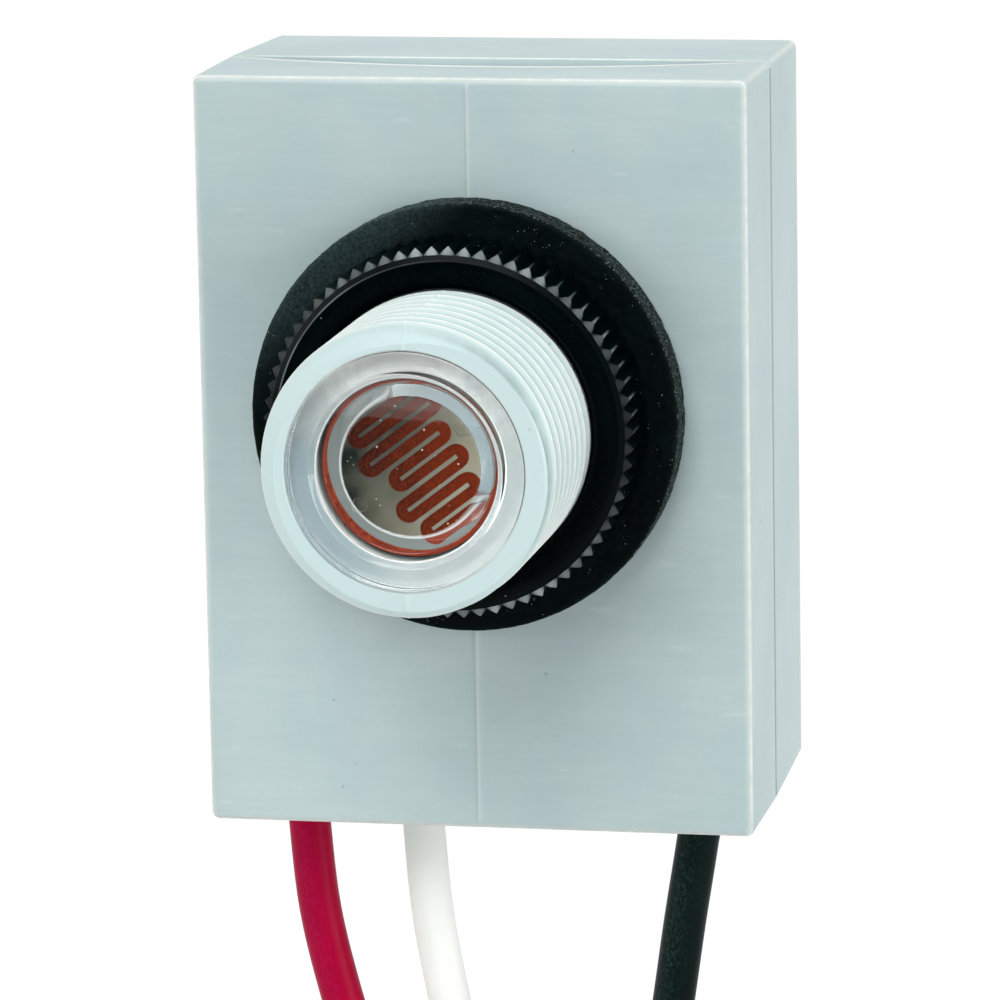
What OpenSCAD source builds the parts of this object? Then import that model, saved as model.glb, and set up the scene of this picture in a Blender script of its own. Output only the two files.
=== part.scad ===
// Photocell switch: a two-part moulded case with a threaded stem, a light cell behind a clear lens,
// a gasket, a knurled locknut, a bimetal switch inside and three leads.
// Origin: on the stem's axis, in the plane of the case's front face. The stem points to -Y, +Z is up.

/* [Case] */
// Width of the case
case_w = 41; // [38:0.5:60]
// Height of the case
case_h = 56; // [54:0.5:80]
// Depth of the case, front to back
case_d = 25.5; // [24.5:0.5:40]
// Depth of the front half, from its face to the seam
front_d = 11; // [10:0.5:14]
// Thickness of the case's walls
wall = 2; // [1.6:0.1:2.4]
// Radius of the case's edges
edge_r = 0.6; // [0.3:0.1:1.2]
// How far each rear side draws in towards the back
draft = 0.3; // [0:0.05:0.6]
// Open groove between the two halves
seam_gap = 0.25; // [0.1:0.05:0.6]
// Height of the rear half's lip, inside the front half
lip_h = 2; // [1:0.1:3]
// Height of the stem's axis above the middle of the case
stem_up = 3.5; // [0:0.5:6]

/* [Stem] */
// Length of the stem from the case's face
stem_l = 23.3; // [20:0.1:30]
// Radius over the thread's crests
thread_r = 10.45; // [10:0.05:12]
// Distance from one crest of the thread to the next
thread_pitch = 1.814; // [1.6:0.002:2.4]
// Depth of the thread
thread_depth = 1.25; // [0.8:0.05:1.4]
// Width of the flat on each crest
crest_w = 0.22; // [0.15:0.01:0.3]
// Length of each groove's steep flank, which faces the case
back_flank = 0.33; // [0.2:0.01:0.4]
// Width of the flat at the bottom of each groove
groove_w = 0.18; // [0.1:0.01:0.25]
// Chamfer at the start of the thread
thread_chamfer = 0.5; // [0.2:0.1:0.8]
// How much lower the plain neck under the gasket and nut lies
neck_step = 0.3; // [0.2:0.05:0.5]
// Radius of the bore that takes the light cell
bore_r = 6.9; // [6.7:0.05:7.2]
// Radius of the narrow bore for the cell's wires
lead_bore_r = 5.4; // [5.1:0.1:5.8]

/* [Locknut and gasket] */
// Outer radius of the gasket
gasket_r = 15.8; // [15:0.1:18]
// Thickness of the gasket
gasket_t = 3.2; // [2:0.1:4]
// Gap between the gasket's hole and the thread
gasket_clearance = 0.15; // [0.1:0.05:0.4]
// Thickness of the locknut
nut_t = 5.9; // [4:0.1:8]
// Radius over the knurl's teeth
nut_r = 13.6; // [13:0.1:15]
// Number of teeth in the knurl
knurl_count = 70; // [48:1:90]
// Depth of the knurl's teeth
knurl_depth = 0.55; // [0.4:0.05:1]
// Angle of the first tooth, as the nut is screwed home
knurl_turn = 1.4; // [0:0.1:5]
// Slope that ends the teeth at the front, measured along the stem
nut_chamfer = 0.5; // [0.2:0.1:1]
// Gap between the locknut's bore and the thread
nut_clearance = 0.06; // [0.03:0.01:0.1]

/* [Lens] */
// Radius of the lens
lens_r = 8.5; // [8:0.05:8.8]
// Gap round the lens in its seat
lens_clearance = 0.08; // [0.04:0.02:0.2]
// How far the lens lies below the end of the stem
lens_inset = 0.1; // [0:0.05:0.5]
// Thickness of the lens at its flange
lens_t = 2; // [1.4:0.1:3]
// Radius of the shallow dish in the front of the lens
dish_r = 6.9; // [6:0.1:7.4]
// Depth of that dish
dish_depth = 0.6; // [0.2:0.1:0.8]
// Length of the boss behind the flange
boss_l = 0.9; // [0.5:0.1:1.5]
// Gap between the boss and the bore
boss_gap = 0.8; // [0.3:0.05:1]
// Radius of the flat end of the boss, the window over the cell
window_r = 5; // [4:0.1:5.4]

/* [Light cell] */
// Radius of the ceramic disc
cell_r = 6.5; // [6.2:0.05:6.6]
// Thickness of the ceramic disc
cell_t = 2; // [1.2:0.1:3]
// Thickness of the orange layer, and of the metal on it
film_t = 0.06; // [0.04:0.02:0.1]
// Radius of the metal's outer edge, inside the orange rim
metal_r = 6; // [5.8:0.05:6.1]
// Distance between the runs of the winding track
track_pitch = 1.04; // [0.9:0.02:1.06]
// Width of the metal fingers between the runs
finger_w = 0.26; // [0.2:0.02:0.4]
// Slope of the runs, from the horizontal
track_angle = 37; // [0:1:90]
// Distance of the cell's wires from its middle
lead_s = 4.7; // [4.5:0.05:4.8]
// Radius of the cell's wires
lead_r = 0.3; // [0.2:0.05:0.35]

/* [Switch] */
// Thickness of the insulating plate
base_t = 1.6; // [1.2:0.1:2]
// Gap between the plate's sides and the case
base_gap = 0.7; // [0.4:0.1:1]
// Height of the plate
base_h = 36; // [34:0.5:42]
// Thickness of the brass terminals
strip_t = 0.8; // [0.6:0.1:1]
// Width of the brass terminals
strip_w = 4; // [3.6:0.1:4.4]
// Height of the bimetal strip above the terminals' feet
arm_rise = 4.3; // [4:0.1:4.8]
// Thickness of the bimetal strip
arm_t = 0.4; // [0.3:0.05:0.6]
// Width of the bimetal strip
arm_w = 5; // [4:0.1:5.6]
// Radius of the contacts
contact_r = 1.8; // [1.2:0.1:2]
// Thickness of each contact
contact_t = 0.8; // [0.6:0.05:0.9]
// Radius of the heater's end caps
heater_r = 2.2; // [1.6:0.1:2.4]
// Length of the heater
heater_l = 13; // [10:0.5:14]
// Gap between the heater and the strip's edge
heater_gap = 0.6; // [0.4:0.1:1]
// Radius of the heater's wires
heater_lead_r = 0.4; // [0.3:0.05:0.5]
// Radius of a rivet's shank
rivet_r = 1; // [0.8:0.1:1.2]

/* [Leads] */
// Outer diameter of the leads
wire_d = 3.2; // [2.8:0.1:3.4]
// Gap round a lead where it leaves the case
exit_clearance = 0.15; // [0.1:0.05:0.3]
// Radius of the bare strands
strand_r = 0.9; // [0.7:0.05:1]
// Length of the stripped end
strip_l = 8.5; // [6:0.5:12]

/* [Hidden] */
$fn = 96;

// Overlap that keeps a cut clear of the face it opens
cut = 1;
// Facets of the rounded case edges
edge_fn = 24;
// Sideways fit of the lip in the front half
lip_fit = 0.1;

// Case
case_top = case_h / 2 - stem_up;
case_bottom = -case_h / 2 - stem_up;
in_w = case_w - 2 * wall;
in_h = case_h - 2 * wall;
in_bottom = case_bottom + wall;
in_top = case_top - wall;
in_back = case_d - wall;
lip_t = wall / 2 - lip_fit;

// Stem, measured forward from the case's face
neck_r = thread_r - neck_step;
neck_past = 0.3;
neck_l = gasket_t + nut_t + neck_past;
thread_end = stem_l - thread_chamfer;
groove_count = floor((thread_end - crest_w - neck_l) / thread_pitch);
groove_r = thread_r - thread_depth;
lens_front = stem_l - lens_inset;
lens_seat = lens_front - lens_t;
boss_end = lens_seat - boss_l;
film_front = boss_end - film_t;
disc_front = film_front - film_t;
cell_seat = disc_front - cell_t;
boss_r = bore_r - boss_gap;

// Winding track: the metal fingers lie between its runs, tips alternately at the low and the high end
finger_tips = [-1.5, 2.6, -2.1, 3.15, -1.15, 3.15, -2.3, 3.9, -1.7];
finger_count = len(finger_tips);
track_shift = -0.3;
turn_gap = 0.02;
turn_r = track_pitch - finger_w / 2 - turn_gap;
track_half = (finger_count - 1) / 2 * track_pitch;
lead_head_r = 0.5;
lead_hole_gap = 0.05;

// Leads: where each leaves the case, and its route from there, inner end first
red_edge = 2.9;
black_edge = 3.6;
red_x = red_edge - in_w / 2;
white_x = -6.7;
black_x = in_w / 2 - black_edge;
wire_y = front_d;
wire_in = 6.5;
red_route = [[0, 0, wire_in], [0, 0, 0], [0.1, 0, -3.5], [0.7, 0, -9.5], [2, 0, -15.5], [4, 0, -22.5],
    [6.2, 0.4, -30.5], [8.2, 1, -39.5], [9.6, 1.6, -48.5], [10.6, 2, -58.5], [11.2, 2.2, -68.5],
    [11.4, 2.2, -78.5], [11.4, 2, -88.5], [11.2, 1.8, -98.5], [11, 1.4, -108.5], [10.6, 1, -118.5],
    [10.2, 0.6, -128.5], [9.8, 0.3, -136.5], [9.4, 0, -144]];
white_route = [[0, 0, wire_in], [0, 0, 0], [0.1, 0, -3.5], [0.6, 0, -9.5], [1.6, 0, -15.5], [3.1, 0, -22.5],
    [4.7, -0.4, -30.5], [5.9, -1, -39.5], [6.7, -1.6, -48.5], [7.2, -2.2, -58.5], [7.5, -2.6, -68.5],
    [7.6, -2.9, -78.5], [7.6, -3, -88.5], [7.5, -3, -98.5], [7.3, -2.9, -108.5], [7, -2.7, -118.5],
    [6.7, -2.4, -128.5], [6.4, -2.2, -136.5], [6.1, -2, -144]];
black_route = [[0, 0, wire_in], [0, 0, 0], [-0.5, 0, -3.5], [-1.5, 0, -9.5], [-2.4, 0, -15.5],
    [-3.5, 0, -22.5], [-4.7, 0.3, -30.5], [-5.9, 0.8, -39.5], [-6.9, 1.3, -48.5], [-7.8, 1.7, -58.5],
    [-8.4, 2, -68.5], [-8.8, 2.1, -78.5], [-9, 2.1, -88.5], [-9, 2, -98.5], [-8.8, 1.8, -108.5],
    [-8.5, 1.5, -118.5], [-8.1, 1.2, -128.5], [-7.7, 0.9, -136.5], [-7.3, 0.6, -144]];
wire_sides = 8;

// Switch plate: its terminals' feet lie just behind the leads' bare strands
foot_front = front_d + strand_r;
base_front = foot_front + strip_t;
base_back = base_front + base_t;
base_w = in_w - 2 * base_gap;
base_above = 1.5;
base_bottom = case_bottom + wire_in + base_above;
base_top = base_bottom + base_h;
post_r = 2;
peg_r = 1.2;
peg_fit = 0.1;
peg_edge = 2.4;
pegs = [[(red_x + white_x) / 2, base_bottom + peg_edge], [(white_x + black_x) / 2, base_bottom + peg_edge],
    [-base_w / 2 + peg_edge, base_top - peg_edge], [base_w / 2 - peg_edge, base_top - peg_edge]];
foot_margin = 1;
foot_bottom = base_bottom + foot_margin;
strand_lap = 3;
strand_in = base_above + foot_margin + strand_lap;
rivet_fit = 0.05;
rivet_head_r = 1.7;
rivet_head_t = 0.6;
rivet_up = 11;
rivet_z = base_bottom + rivet_up;
neutral_rivet_up = 9;
neutral_rivet_z = base_bottom + neutral_rivet_up;

// Bimetal strip and contacts
arm_up = 17.5;
arm_z = base_bottom + arm_up;
arm_back = foot_front - arm_rise;
arm_low = arm_z - arm_w / 2;
line_left = black_x - strip_w / 2;
load_right = red_x + strip_w / 2;
contact_x = -8;
arm_root = line_left + strip_t;
arm_margin = 0.6;
arm_tip = contact_x - contact_r - arm_margin;
line_head = 5;
load_margin = 0.4;
load_head_back = arm_back + 2 * contact_t + strip_t;

// Heater and wires
heater_drop = 0.4;
heater_y = arm_back + heater_drop;
heater_z = arm_z + arm_w / 2 + heater_gap + heater_r;
heater_x = -1.9;
heater_cap = 2;
heater_waist = 0.25;
heater_post_shift = 1;
heater_post_x = red_x + heater_post_shift;
heater_foot_gap = 1;
heater_foot_low = arm_z + arm_w / 2 + heater_foot_gap;
heater_foot_h = 9.5;
heater_rivet_edge = 2.4;
heater_rivet_z = heater_foot_low + heater_foot_h - heater_rivet_edge;
heater_wire_step = 3;
heater_turn = 2;
wire_depth = 2.2;
wire_plane = wall + wire_depth;
neutral_h = 11.5;
neutral_top = foot_bottom + neutral_h;
neutral_edge = 1.2;
line_wire_up = 8.8;
line_wire_z = arm_z + line_wire_up;
line_edge = 1.9;

// Stands what is drawn along +Z forward, along -Y, with the drawing's +Y up
module forward() {
    rotate([90, 0, 0]) children();
}

// Flat piece that reaches forward from its back face, drawn in X and Z
module plate(back, thickness) {
    translate([0, back, 0]) forward() linear_extrude(thickness) children();
}

// Rectangle between two corners
module between(low, high) {
    translate(low) square(high - low);
}

// Round wire along straight stretches, with a slightly fatter ball at each bend
module bent_wire(points, r) {
    swell = 1.06;
    ball = swell * r;
    for (i = [0 : len(points) - 2]) {
        run = points[i + 1] - points[i];
        translate(points[i])
            rotate([0, acos(run.z / norm(run)), atan2(run.y, run.x)])
                cylinder(r = r, h = norm(run), $fn = 24);
    }
    for (i = [1 : len(points) - 2])
        translate(points[i]) sphere(r = ball, $fn = 24);
}

// Outside of the whole case, with the rear half drawn in towards the back
module case_outside() {
    stations = [[edge_r, 0], [front_d, 0], [case_d - edge_r, draft]];
    hull()
        for (s = stations, side = [-1, 1], z = [case_bottom + edge_r + s[1], case_top - edge_r - s[1]])
            translate([side * (case_w / 2 - edge_r - s[1]), s[0], z]) sphere(r = edge_r, $fn = edge_fn);
}

// Box inside the case, grown sideways by a margin
module case_inside(from, to, margin = 0) {
    translate([-in_w / 2 - margin, from, in_bottom - margin])
        cube([in_w + 2 * margin, to - from, in_h + 2 * margin]);
}

// Slice of the case between two depths
module case_slice(from, to) {
    translate([-case_w, from, -case_h]) cube([2 * case_w, to - from, 2 * case_h]);
}

// Holes in the bottom wall, half in each part of the case
module lead_exits() {
    for (x = [red_x, white_x, black_x])
        translate([x, wire_y, case_bottom - cut])
            cylinder(r = wire_d / 2 + exit_clearance, h = wall + 2 * cut);
}

// Outline of one groove of the thread, from the start of its crest to the start of the next
function groove(crest) = [[thread_r, crest], [thread_r, crest + crest_w],
    [groove_r, crest + thread_pitch - back_flank - groove_w], [groove_r, crest + thread_pitch - back_flank]];

// Outer form of the stem: plain neck, thread as a row of ring grooves, chamfered start
module stem_outside() {
    root = -wall / 2;
    grooves = [for (i = [0 : groove_count - 1], p = groove(neck_l + i * thread_pitch)) p];
    forward() rotate_extrude()
        polygon(concat([[0, root], [neck_r, root], [neck_r, neck_l]], grooves,
            [[thread_r, neck_l + groove_count * thread_pitch], [thread_r, thread_end],
            [thread_r - thread_chamfer, stem_l], [0, stem_l]]));
}

// Stepped hole through the stem: lens seat, cell bore, then the bore for the cell's wires
module stem_hole() {
    seat_r = lens_r + lens_clearance;
    forward() rotate_extrude()
        polygon([[0, -wall - cut], [lead_bore_r, -wall - cut], [lead_bore_r, cell_seat], [bore_r, cell_seat],
            [bore_r, lens_seat], [seat_r, lens_seat], [seat_r, stem_l + cut], [0, stem_l + cut]]);
}

module front_case() {
    color("#b9cacb") difference() {
        union() {
            difference() {
                intersection() {
                    case_outside();
                    case_slice(-cut, front_d - seam_gap);
                }
                case_inside(wall, front_d + cut);
                case_inside(front_d - lip_h, front_d + cut, wall / 2);
            }
            stem_outside();
        }
        stem_hole();
        lead_exits();
    }
}

module rear_case() {
    color("#b9cacb") {
        difference() {
            union() {
                intersection() {
                    case_outside();
                    case_slice(front_d, case_d + cut);
                }
                case_inside(front_d - lip_h, front_d + wall, lip_t);
            }
            case_inside(front_d - lip_h - cut, in_back);
            lead_exits();
        }
        for (p = pegs) {
            plate_post(p, in_back + wall / 2, base_back, post_r);
            plate_post(p, base_back + wall / 2, base_front - peg_r, peg_r);
        }
    }
}

// Round post between two depths
module plate_post(at, back, front, r) {
    plate(back, back - front) translate(at) circle(r = r);
}

module gasket() {
    hole_r = thread_r + gasket_clearance;
    round = 0.3;
    color("#1d2020") forward() rotate_extrude()
        polygon([[hole_r, 0], [gasket_r - round, 0], [gasket_r, round], [gasket_r, gasket_t - round],
            [gasket_r - round, gasket_t], [hole_r, gasket_t]]);
}

// Triangular teeth round a circle
module knurl() {
    root_r = nut_r - knurl_depth;
    step = 180 / knurl_count;
    polygon([for (i = [0 : 2 * knurl_count - 1])
        (i % 2 == 0 ? nut_r : root_r) * [cos(i * step), sin(i * step)]]);
}

module locknut() {
    hole_r = thread_r + nut_clearance;
    face_step = 0.45;
    face_r = nut_r - knurl_depth - face_step;
    lead_in = 0.5;
    reach = nut_r + cut;
    slope = (reach - face_r) * nut_chamfer / (nut_r - face_r);
    color("#131516") translate([0, -gasket_t, 0]) forward() difference() {
        intersection() {
            linear_extrude(nut_t) rotate(knurl_turn) knurl();
            rotate_extrude()
                polygon([[0, 0], [reach, 0], [reach, nut_t - slope], [face_r, nut_t], [0, nut_t]]);
        }
        rotate_extrude()
            polygon([[0, -cut], [hole_r, -cut], [hole_r, nut_t - lead_in], [hole_r + lead_in, nut_t],
                [hole_r + lead_in, nut_t + cut], [0, nut_t + cut]]);
    }
}

module lens() {
    lip = 0.25;
    dish_slope = 0.35;
    color("#dfe9ea", 0.4) forward() rotate_extrude()
        polygon([[0, boss_end], [window_r, boss_end], [boss_r, lens_seat], [lens_r, lens_seat],
            [lens_r, lens_front - lip], [lens_r - lip, lens_front], [dish_r, lens_front],
            [dish_r - dish_slope, lens_front - dish_depth], [0, lens_front - dish_depth]]);
}

// Places what is drawn on the cell's face at the point where each wire comes through
module at_lead(side) {
    rotate(track_angle) translate([side * lead_s, 0]) children();
}

// Layer on the cell's face, with holes for the two wires' heads
module cell_layer(front, thickness, hole_r) {
    plate(-front + thickness, thickness) difference() {
        children();
        for (side = [-1, 1])
            at_lead(side) circle(r = hole_r);
    }
}

module cell_disc() {
    color("#d9dad2") cell_layer(disc_front, cell_t, lead_r + lead_hole_gap) circle(r = cell_r);
}

module cell_film() {
    color("#b8481f") cell_layer(film_front, film_t, lead_head_r + lead_hole_gap) circle(r = cell_r);
}

// Distance of a finger's middle line from the cell's middle, across the runs
function finger_at(i) = track_shift + i * track_pitch - track_half;

// Strip along a finger, from its tip to past the high end
module beyond_tip(i, half) {
    between([finger_tips[i], finger_at(i) - half], [2 * metal_r, finger_at(i) + half]);
}

// Round turn of the track about a finger's tip
module turn_round(i) {
    translate([finger_tips[i], finger_at(i)]) circle(r = turn_r);
}

// Comb on the low side: what the runs about the other comb's fingers leave of the metal
module electrode_outer() {
    color("#8f948c") cell_layer(boss_end, film_t, lead_head_r + lead_hole_gap) rotate(track_angle)
        difference() {
            circle(r = metal_r);
            for (i = [0 : 2 : finger_count - 1]) {
                beyond_tip(i, turn_r);
                turn_round(i);
            }
            for (i = [1 : 2 : finger_count - 1])
                beyond_tip(i, track_pitch / 2);
        }
}

// Comb on the high side: its fingers, and the metal past the other comb's tips
module electrode_inner() {
    color("#8f948c") cell_layer(boss_end, film_t, lead_head_r + lead_hole_gap) rotate(track_angle)
        intersection() {
            circle(r = metal_r);
            union() {
                for (i = [0 : 2 : finger_count - 1])
                    beyond_tip(i, finger_w / 2);
                for (i = [1 : 2 : finger_count - 1])
                    difference() {
                        beyond_tip(i, track_pitch);
                        turn_round(i);
                    }
            }
        }
}

// Wire of the cell: flat head in the metal, then back through the disc and along its own way
module cell_lead(side, way) {
    x = side * lead_s * cos(track_angle);
    z = side * lead_s * sin(track_angle);
    start = [x, -disc_front, z];
    color("#c9c9c4") {
        plate(-disc_front, 2 * film_t) translate([x, z]) circle(r = lead_head_r);
        bent_wire(concat([start, [x, wire_plane, z]], way), lead_r);
    }
}

module cell_lead_line() {
    cell_lead(1, [[black_x, wire_plane, line_wire_z], [black_x, foot_front, line_wire_z]]);
}

module cell_lead_heater() {
    z = heater_rivet_z - heater_wire_step;
    cell_lead(-1, [[heater_post_x, wire_plane, z], [heater_post_x, foot_front, z]]);
}

// Places one rivet hole, or rivet, for each terminal
module at_rivets() {
    spots = [[black_x, rivet_z], [red_x, rivet_z], [white_x, neutral_rivet_z],
        [heater_post_x, heater_rivet_z]];
    for (s = spots)
        translate(s) children();
}

module switch_base() {
    color("#7a4a2b") plate(base_back, base_t) difference() {
        between([-base_w / 2, base_bottom], [base_w / 2, base_top]);
        for (p = pegs)
            translate(p) circle(r = peg_r + peg_fit);
        at_rivets() circle(r = rivet_r + rivet_fit);
    }
}

// Terminal's flat foot on the plate, from a low to a high end
module foot(x, low, high) {
    plate(base_front, strip_t) difference() {
        between([x - strip_w / 2, low], [x + strip_w / 2, high]);
        at_rivets() circle(r = rivet_r + rivet_fit);
    }
}

// Bent-up bracket on a foot, drawn as its edge in X and Y and given the strip's height
module bracket(points) {
    translate([0, 0, arm_low]) linear_extrude(arm_w) polygon(points);
}

module line_terminal() {
    left = line_left;
    head = arm_back;
    color("#c8a24a") {
        foot(black_x, foot_bottom, line_wire_z + line_edge);
        bracket([[left, base_front], [left, head + strip_t], [left - line_head, head + strip_t],
            [left - line_head, head], [left + strip_t, head], [left + strip_t, base_front]]);
    }
}

module load_terminal() {
    right = load_right;
    head = load_head_back - strip_t;
    tip = contact_x + contact_r + load_margin;
    color("#c8a24a") {
        foot(red_x, foot_bottom, arm_z + arm_w / 2);
        bracket([[right, base_front], [right, load_head_back], [tip, load_head_back], [tip, head],
            [right - strip_t, head], [right - strip_t, base_front]]);
    }
}

module neutral_terminal() {
    color("#c8a24a") foot(white_x, foot_bottom, neutral_top);
}

module heater_terminal() {
    color("#c8a24a") foot(heater_post_x, heater_foot_low, heater_foot_low + heater_foot_h);
}

// Rivets through the terminals and the plate, with a flat head on each side
module terminal_rivets() {
    color("#b58f3a") for (head = [0, 1, 2]) {
        back = [base_back + rivet_head_t, base_back, foot_front][head];
        front = [base_back, foot_front, foot_front - rivet_head_t][head];
        plate(back, back - front) at_rivets() circle(r = head == 1 ? rivet_r : rivet_head_r);
    }
}

module bimetal_arm() {
    color("#b7a58a") plate(arm_back, arm_t) between([arm_tip, arm_low], [arm_root, arm_low + arm_w]);
}

module moving_contact() {
    color("#e3e3df") plate(arm_back + contact_t, contact_t)
        translate([contact_x, arm_z]) circle(r = contact_r);
}

module fixed_contact() {
    color("#e3e3df") plate(arm_back + 2 * contact_t, contact_t)
        translate([contact_x, arm_z]) circle(r = contact_r);
}

module heater() {
    half = heater_l / 2;
    body_r = heater_r - heater_waist;
    color("#6d5546") translate([heater_x, heater_y, heater_z]) rotate([0, 90, 0]) rotate_extrude()
        polygon([[0, -half], [heater_r, -half], [heater_r, heater_cap - half], [body_r, heater_cap - half],
            [body_r, half - heater_cap], [heater_r, half - heater_cap], [heater_r, half], [0, half]]);
}

module heater_leads() {
    left = heater_x - heater_l / 2;
    right = heater_x + heater_l / 2;
    turn = right + heater_turn;
    low = neutral_top - neutral_edge;
    color("#c9c9c4") {
        bent_wire([[left, heater_y, heater_z], [heater_post_x, heater_y, heater_z],
            [heater_post_x, foot_front, heater_z]], heater_lead_r);
        bent_wire([[right, heater_y, heater_z], [turn, heater_y, heater_z], [turn, wire_plane, heater_z],
            [turn, wire_plane, low], [white_x, wire_plane, low], [white_x, foot_front, low]], heater_lead_r);
    }
}

// Route of a lead, from where it leaves the case
function from_exit(x, route) = [for (p = route) [x, wire_y, case_bottom] + p];

// Tube along a route: a ring of points at each route point, square to the way there, with closed ends
function way(route, i) = let (d = route[min(i + 1, len(route) - 1)] - route[max(i - 1, 0)]) d / norm(d);
function across(route, i) = let (c = cross(way(route, i), [0, 1, 0])) c / norm(c);
function ring(route, i, r, sides) = let (u = across(route, i), v = cross(u, way(route, i)))
    [for (k = [0 : sides - 1]) route[i] + r * (cos(360 * k / sides) * u + sin(360 * k / sides) * v)];

module tube(route, r, sides) {
    rings = len(route);
    last = (rings - 1) * sides;
    walls = [for (i = [0 : rings - 2], k = [0 : sides - 1])
        let (a = i * sides + k, b = i * sides + (k + 1) % sides) [a, b, b + sides, a + sides]];
    ends = [[for (k = [sides - 1 : -1 : 0]) k], [for (k = [0 : sides - 1]) last + k]];
    polyhedron([for (i = [0 : rings - 1]) each ring(route, i, r, sides)], concat(walls, ends));
}

module wire_red() {
    color("#b3122f") tube(from_exit(red_x, red_route), wire_d / 2, wire_sides);
}

module wire_white() {
    color("#f3efe6") tube(from_exit(white_x, white_route), wire_d / 2, wire_sides);
}

module wire_black() {
    color("#1b201f") tube(from_exit(black_x, black_route), wire_d / 2, wire_sides);
}

// Bare strands at both ends of a lead: up to its terminal inside, and stripped at the far end
module strands(route) {
    n = len(route) - 1;
    run = route[n] - route[n - 1];
    color("#c4793f") {
        translate(route[0]) cylinder(r = strand_r, h = strand_in, $fn = 32);
        translate(route[n])
            rotate([0, acos(run.z / norm(run)), atan2(run.y, run.x)])
                cylinder(r = strand_r, h = strip_l, $fn = 32);
    }
}

module strands_red() {
    strands(from_exit(red_x, red_route));
}

module strands_white() {
    strands(from_exit(white_x, white_route));
}

module strands_black() {
    strands(from_exit(black_x, black_route));
}

front_case();
rear_case();
gasket();
locknut();
lens();
cell_disc();
cell_film();
electrode_outer();
electrode_inner();
cell_lead_line();
cell_lead_heater();
switch_base();
line_terminal();
load_terminal();
neutral_terminal();
heater_terminal();
terminal_rivets();
bimetal_arm();
moving_contact();
fixed_contact();
heater();
heater_leads();
wire_red();
wire_white();
wire_black();
strands_red();
strands_white();
strands_black();
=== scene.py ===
# %% [markdown]
# # Photocell switch
# A small outdoor light sensor: a two-part moulded case with a threaded stem, a light cell behind a
# clear lens, a rubber gasket, a knurled locknut and three leads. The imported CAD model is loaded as
# a fixed frame, and every piece made here sits on it. Sizes are written in millimetres, as a maker
# would, and turned into metres when a mesh is made.

import math

import bmesh
import bpy
import numpy as np
from mathutils import Euler, Matrix, Vector


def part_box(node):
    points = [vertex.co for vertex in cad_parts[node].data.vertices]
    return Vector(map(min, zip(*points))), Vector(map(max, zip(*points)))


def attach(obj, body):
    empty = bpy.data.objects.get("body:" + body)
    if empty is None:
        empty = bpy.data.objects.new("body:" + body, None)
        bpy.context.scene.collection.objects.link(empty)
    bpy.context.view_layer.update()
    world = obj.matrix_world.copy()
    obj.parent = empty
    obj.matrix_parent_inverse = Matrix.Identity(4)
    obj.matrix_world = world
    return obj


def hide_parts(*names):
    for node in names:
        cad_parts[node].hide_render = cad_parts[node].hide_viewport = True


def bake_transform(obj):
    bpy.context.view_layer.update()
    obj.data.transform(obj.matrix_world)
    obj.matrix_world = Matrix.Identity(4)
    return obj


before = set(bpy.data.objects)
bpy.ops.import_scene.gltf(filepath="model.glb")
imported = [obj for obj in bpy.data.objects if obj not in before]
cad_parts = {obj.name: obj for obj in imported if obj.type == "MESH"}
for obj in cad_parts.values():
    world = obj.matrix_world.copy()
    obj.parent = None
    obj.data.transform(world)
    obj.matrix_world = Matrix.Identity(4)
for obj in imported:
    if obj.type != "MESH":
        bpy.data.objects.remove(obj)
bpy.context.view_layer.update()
MM = 0.001

# %% [markdown]
# ## Camera
# The photograph was taken with a long lens from a little above and to the right. The camera could
# be placed by eye, but its angles, distance and focal length were fitted to the case's corners and
# the stem's rings, so they are written here as numbers. The three rows of the turn matrix are the
# camera's right, down and ahead directions, in axes that lie along the case.

# %% Camera
FOCAL_PX = 6316.9
IMAGE_PX = 1000
SENSOR_MM = 36
STEM_UP = 3.5
CAMERA_ANGLES = (11.72, 11.479, 1.375)
CAMERA_SHIFT = Vector((-1.969, -3.084, 462.176))
NEAREST_M = 0.01


def to_frame(v):
    """Turns a vector in the case's axes (right, down, back) into the frame's (right, back, up)."""
    return Vector((v.x, v.z, -v.y))


camera_turn = Euler([math.radians(a) for a in CAMERA_ANGLES], "XYZ").to_matrix()
right, down, ahead = (to_frame(Vector(row)) for row in camera_turn)
camera_axes = Matrix((right, -down, -ahead)).transposed().to_4x4()
place = to_frame(-(camera_turn.transposed() @ CAMERA_SHIFT)) - Vector((0, 0, STEM_UP))
camera_data = bpy.data.cameras.new("camera")
camera_data.lens = FOCAL_PX / IMAGE_PX * SENSOR_MM
camera_data.sensor_width = SENSOR_MM
camera_data.clip_start = NEAREST_M
camera = bpy.data.objects.new("camera", camera_data)
camera.matrix_world = Matrix.Translation(place * MM) @ camera_axes
bpy.context.scene.collection.objects.link(camera)
bpy.context.scene.camera = camera
print("camera at", [round(c, 4) for c in camera.location], "lens", round(camera_data.lens, 1), "mm")

# %% [markdown]
# ## From grids to meshes
# Every new piece is a surface over a grid: rows along one parameter, columns along the other. A
# piece may be made of several grids that share an edge. They are put into one mesh, points that
# coincide are welded, and the normals are turned outwards. Edges sharper than an angle stay crisp.
# A mesh may also carry a number at each point, its mark, which a finish reads as painted highlights, painted sheen and
# painted shade, and on the gasket as torn foam.

# %% Grid helpers
WELD = 1e-4


def grid_faces(rows, columns, around=True):
    """Quads of a rows x columns grid, numbered row by row; around also joins the last column to the first."""
    steps = np.arange(columns if around else columns - 1)
    row = np.arange(rows - 1)[:, None] * columns
    a, b = row + steps, row + (steps + 1) % columns
    return np.stack([a, b, b + columns, a + columns], -1).reshape(-1, 4)


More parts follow.
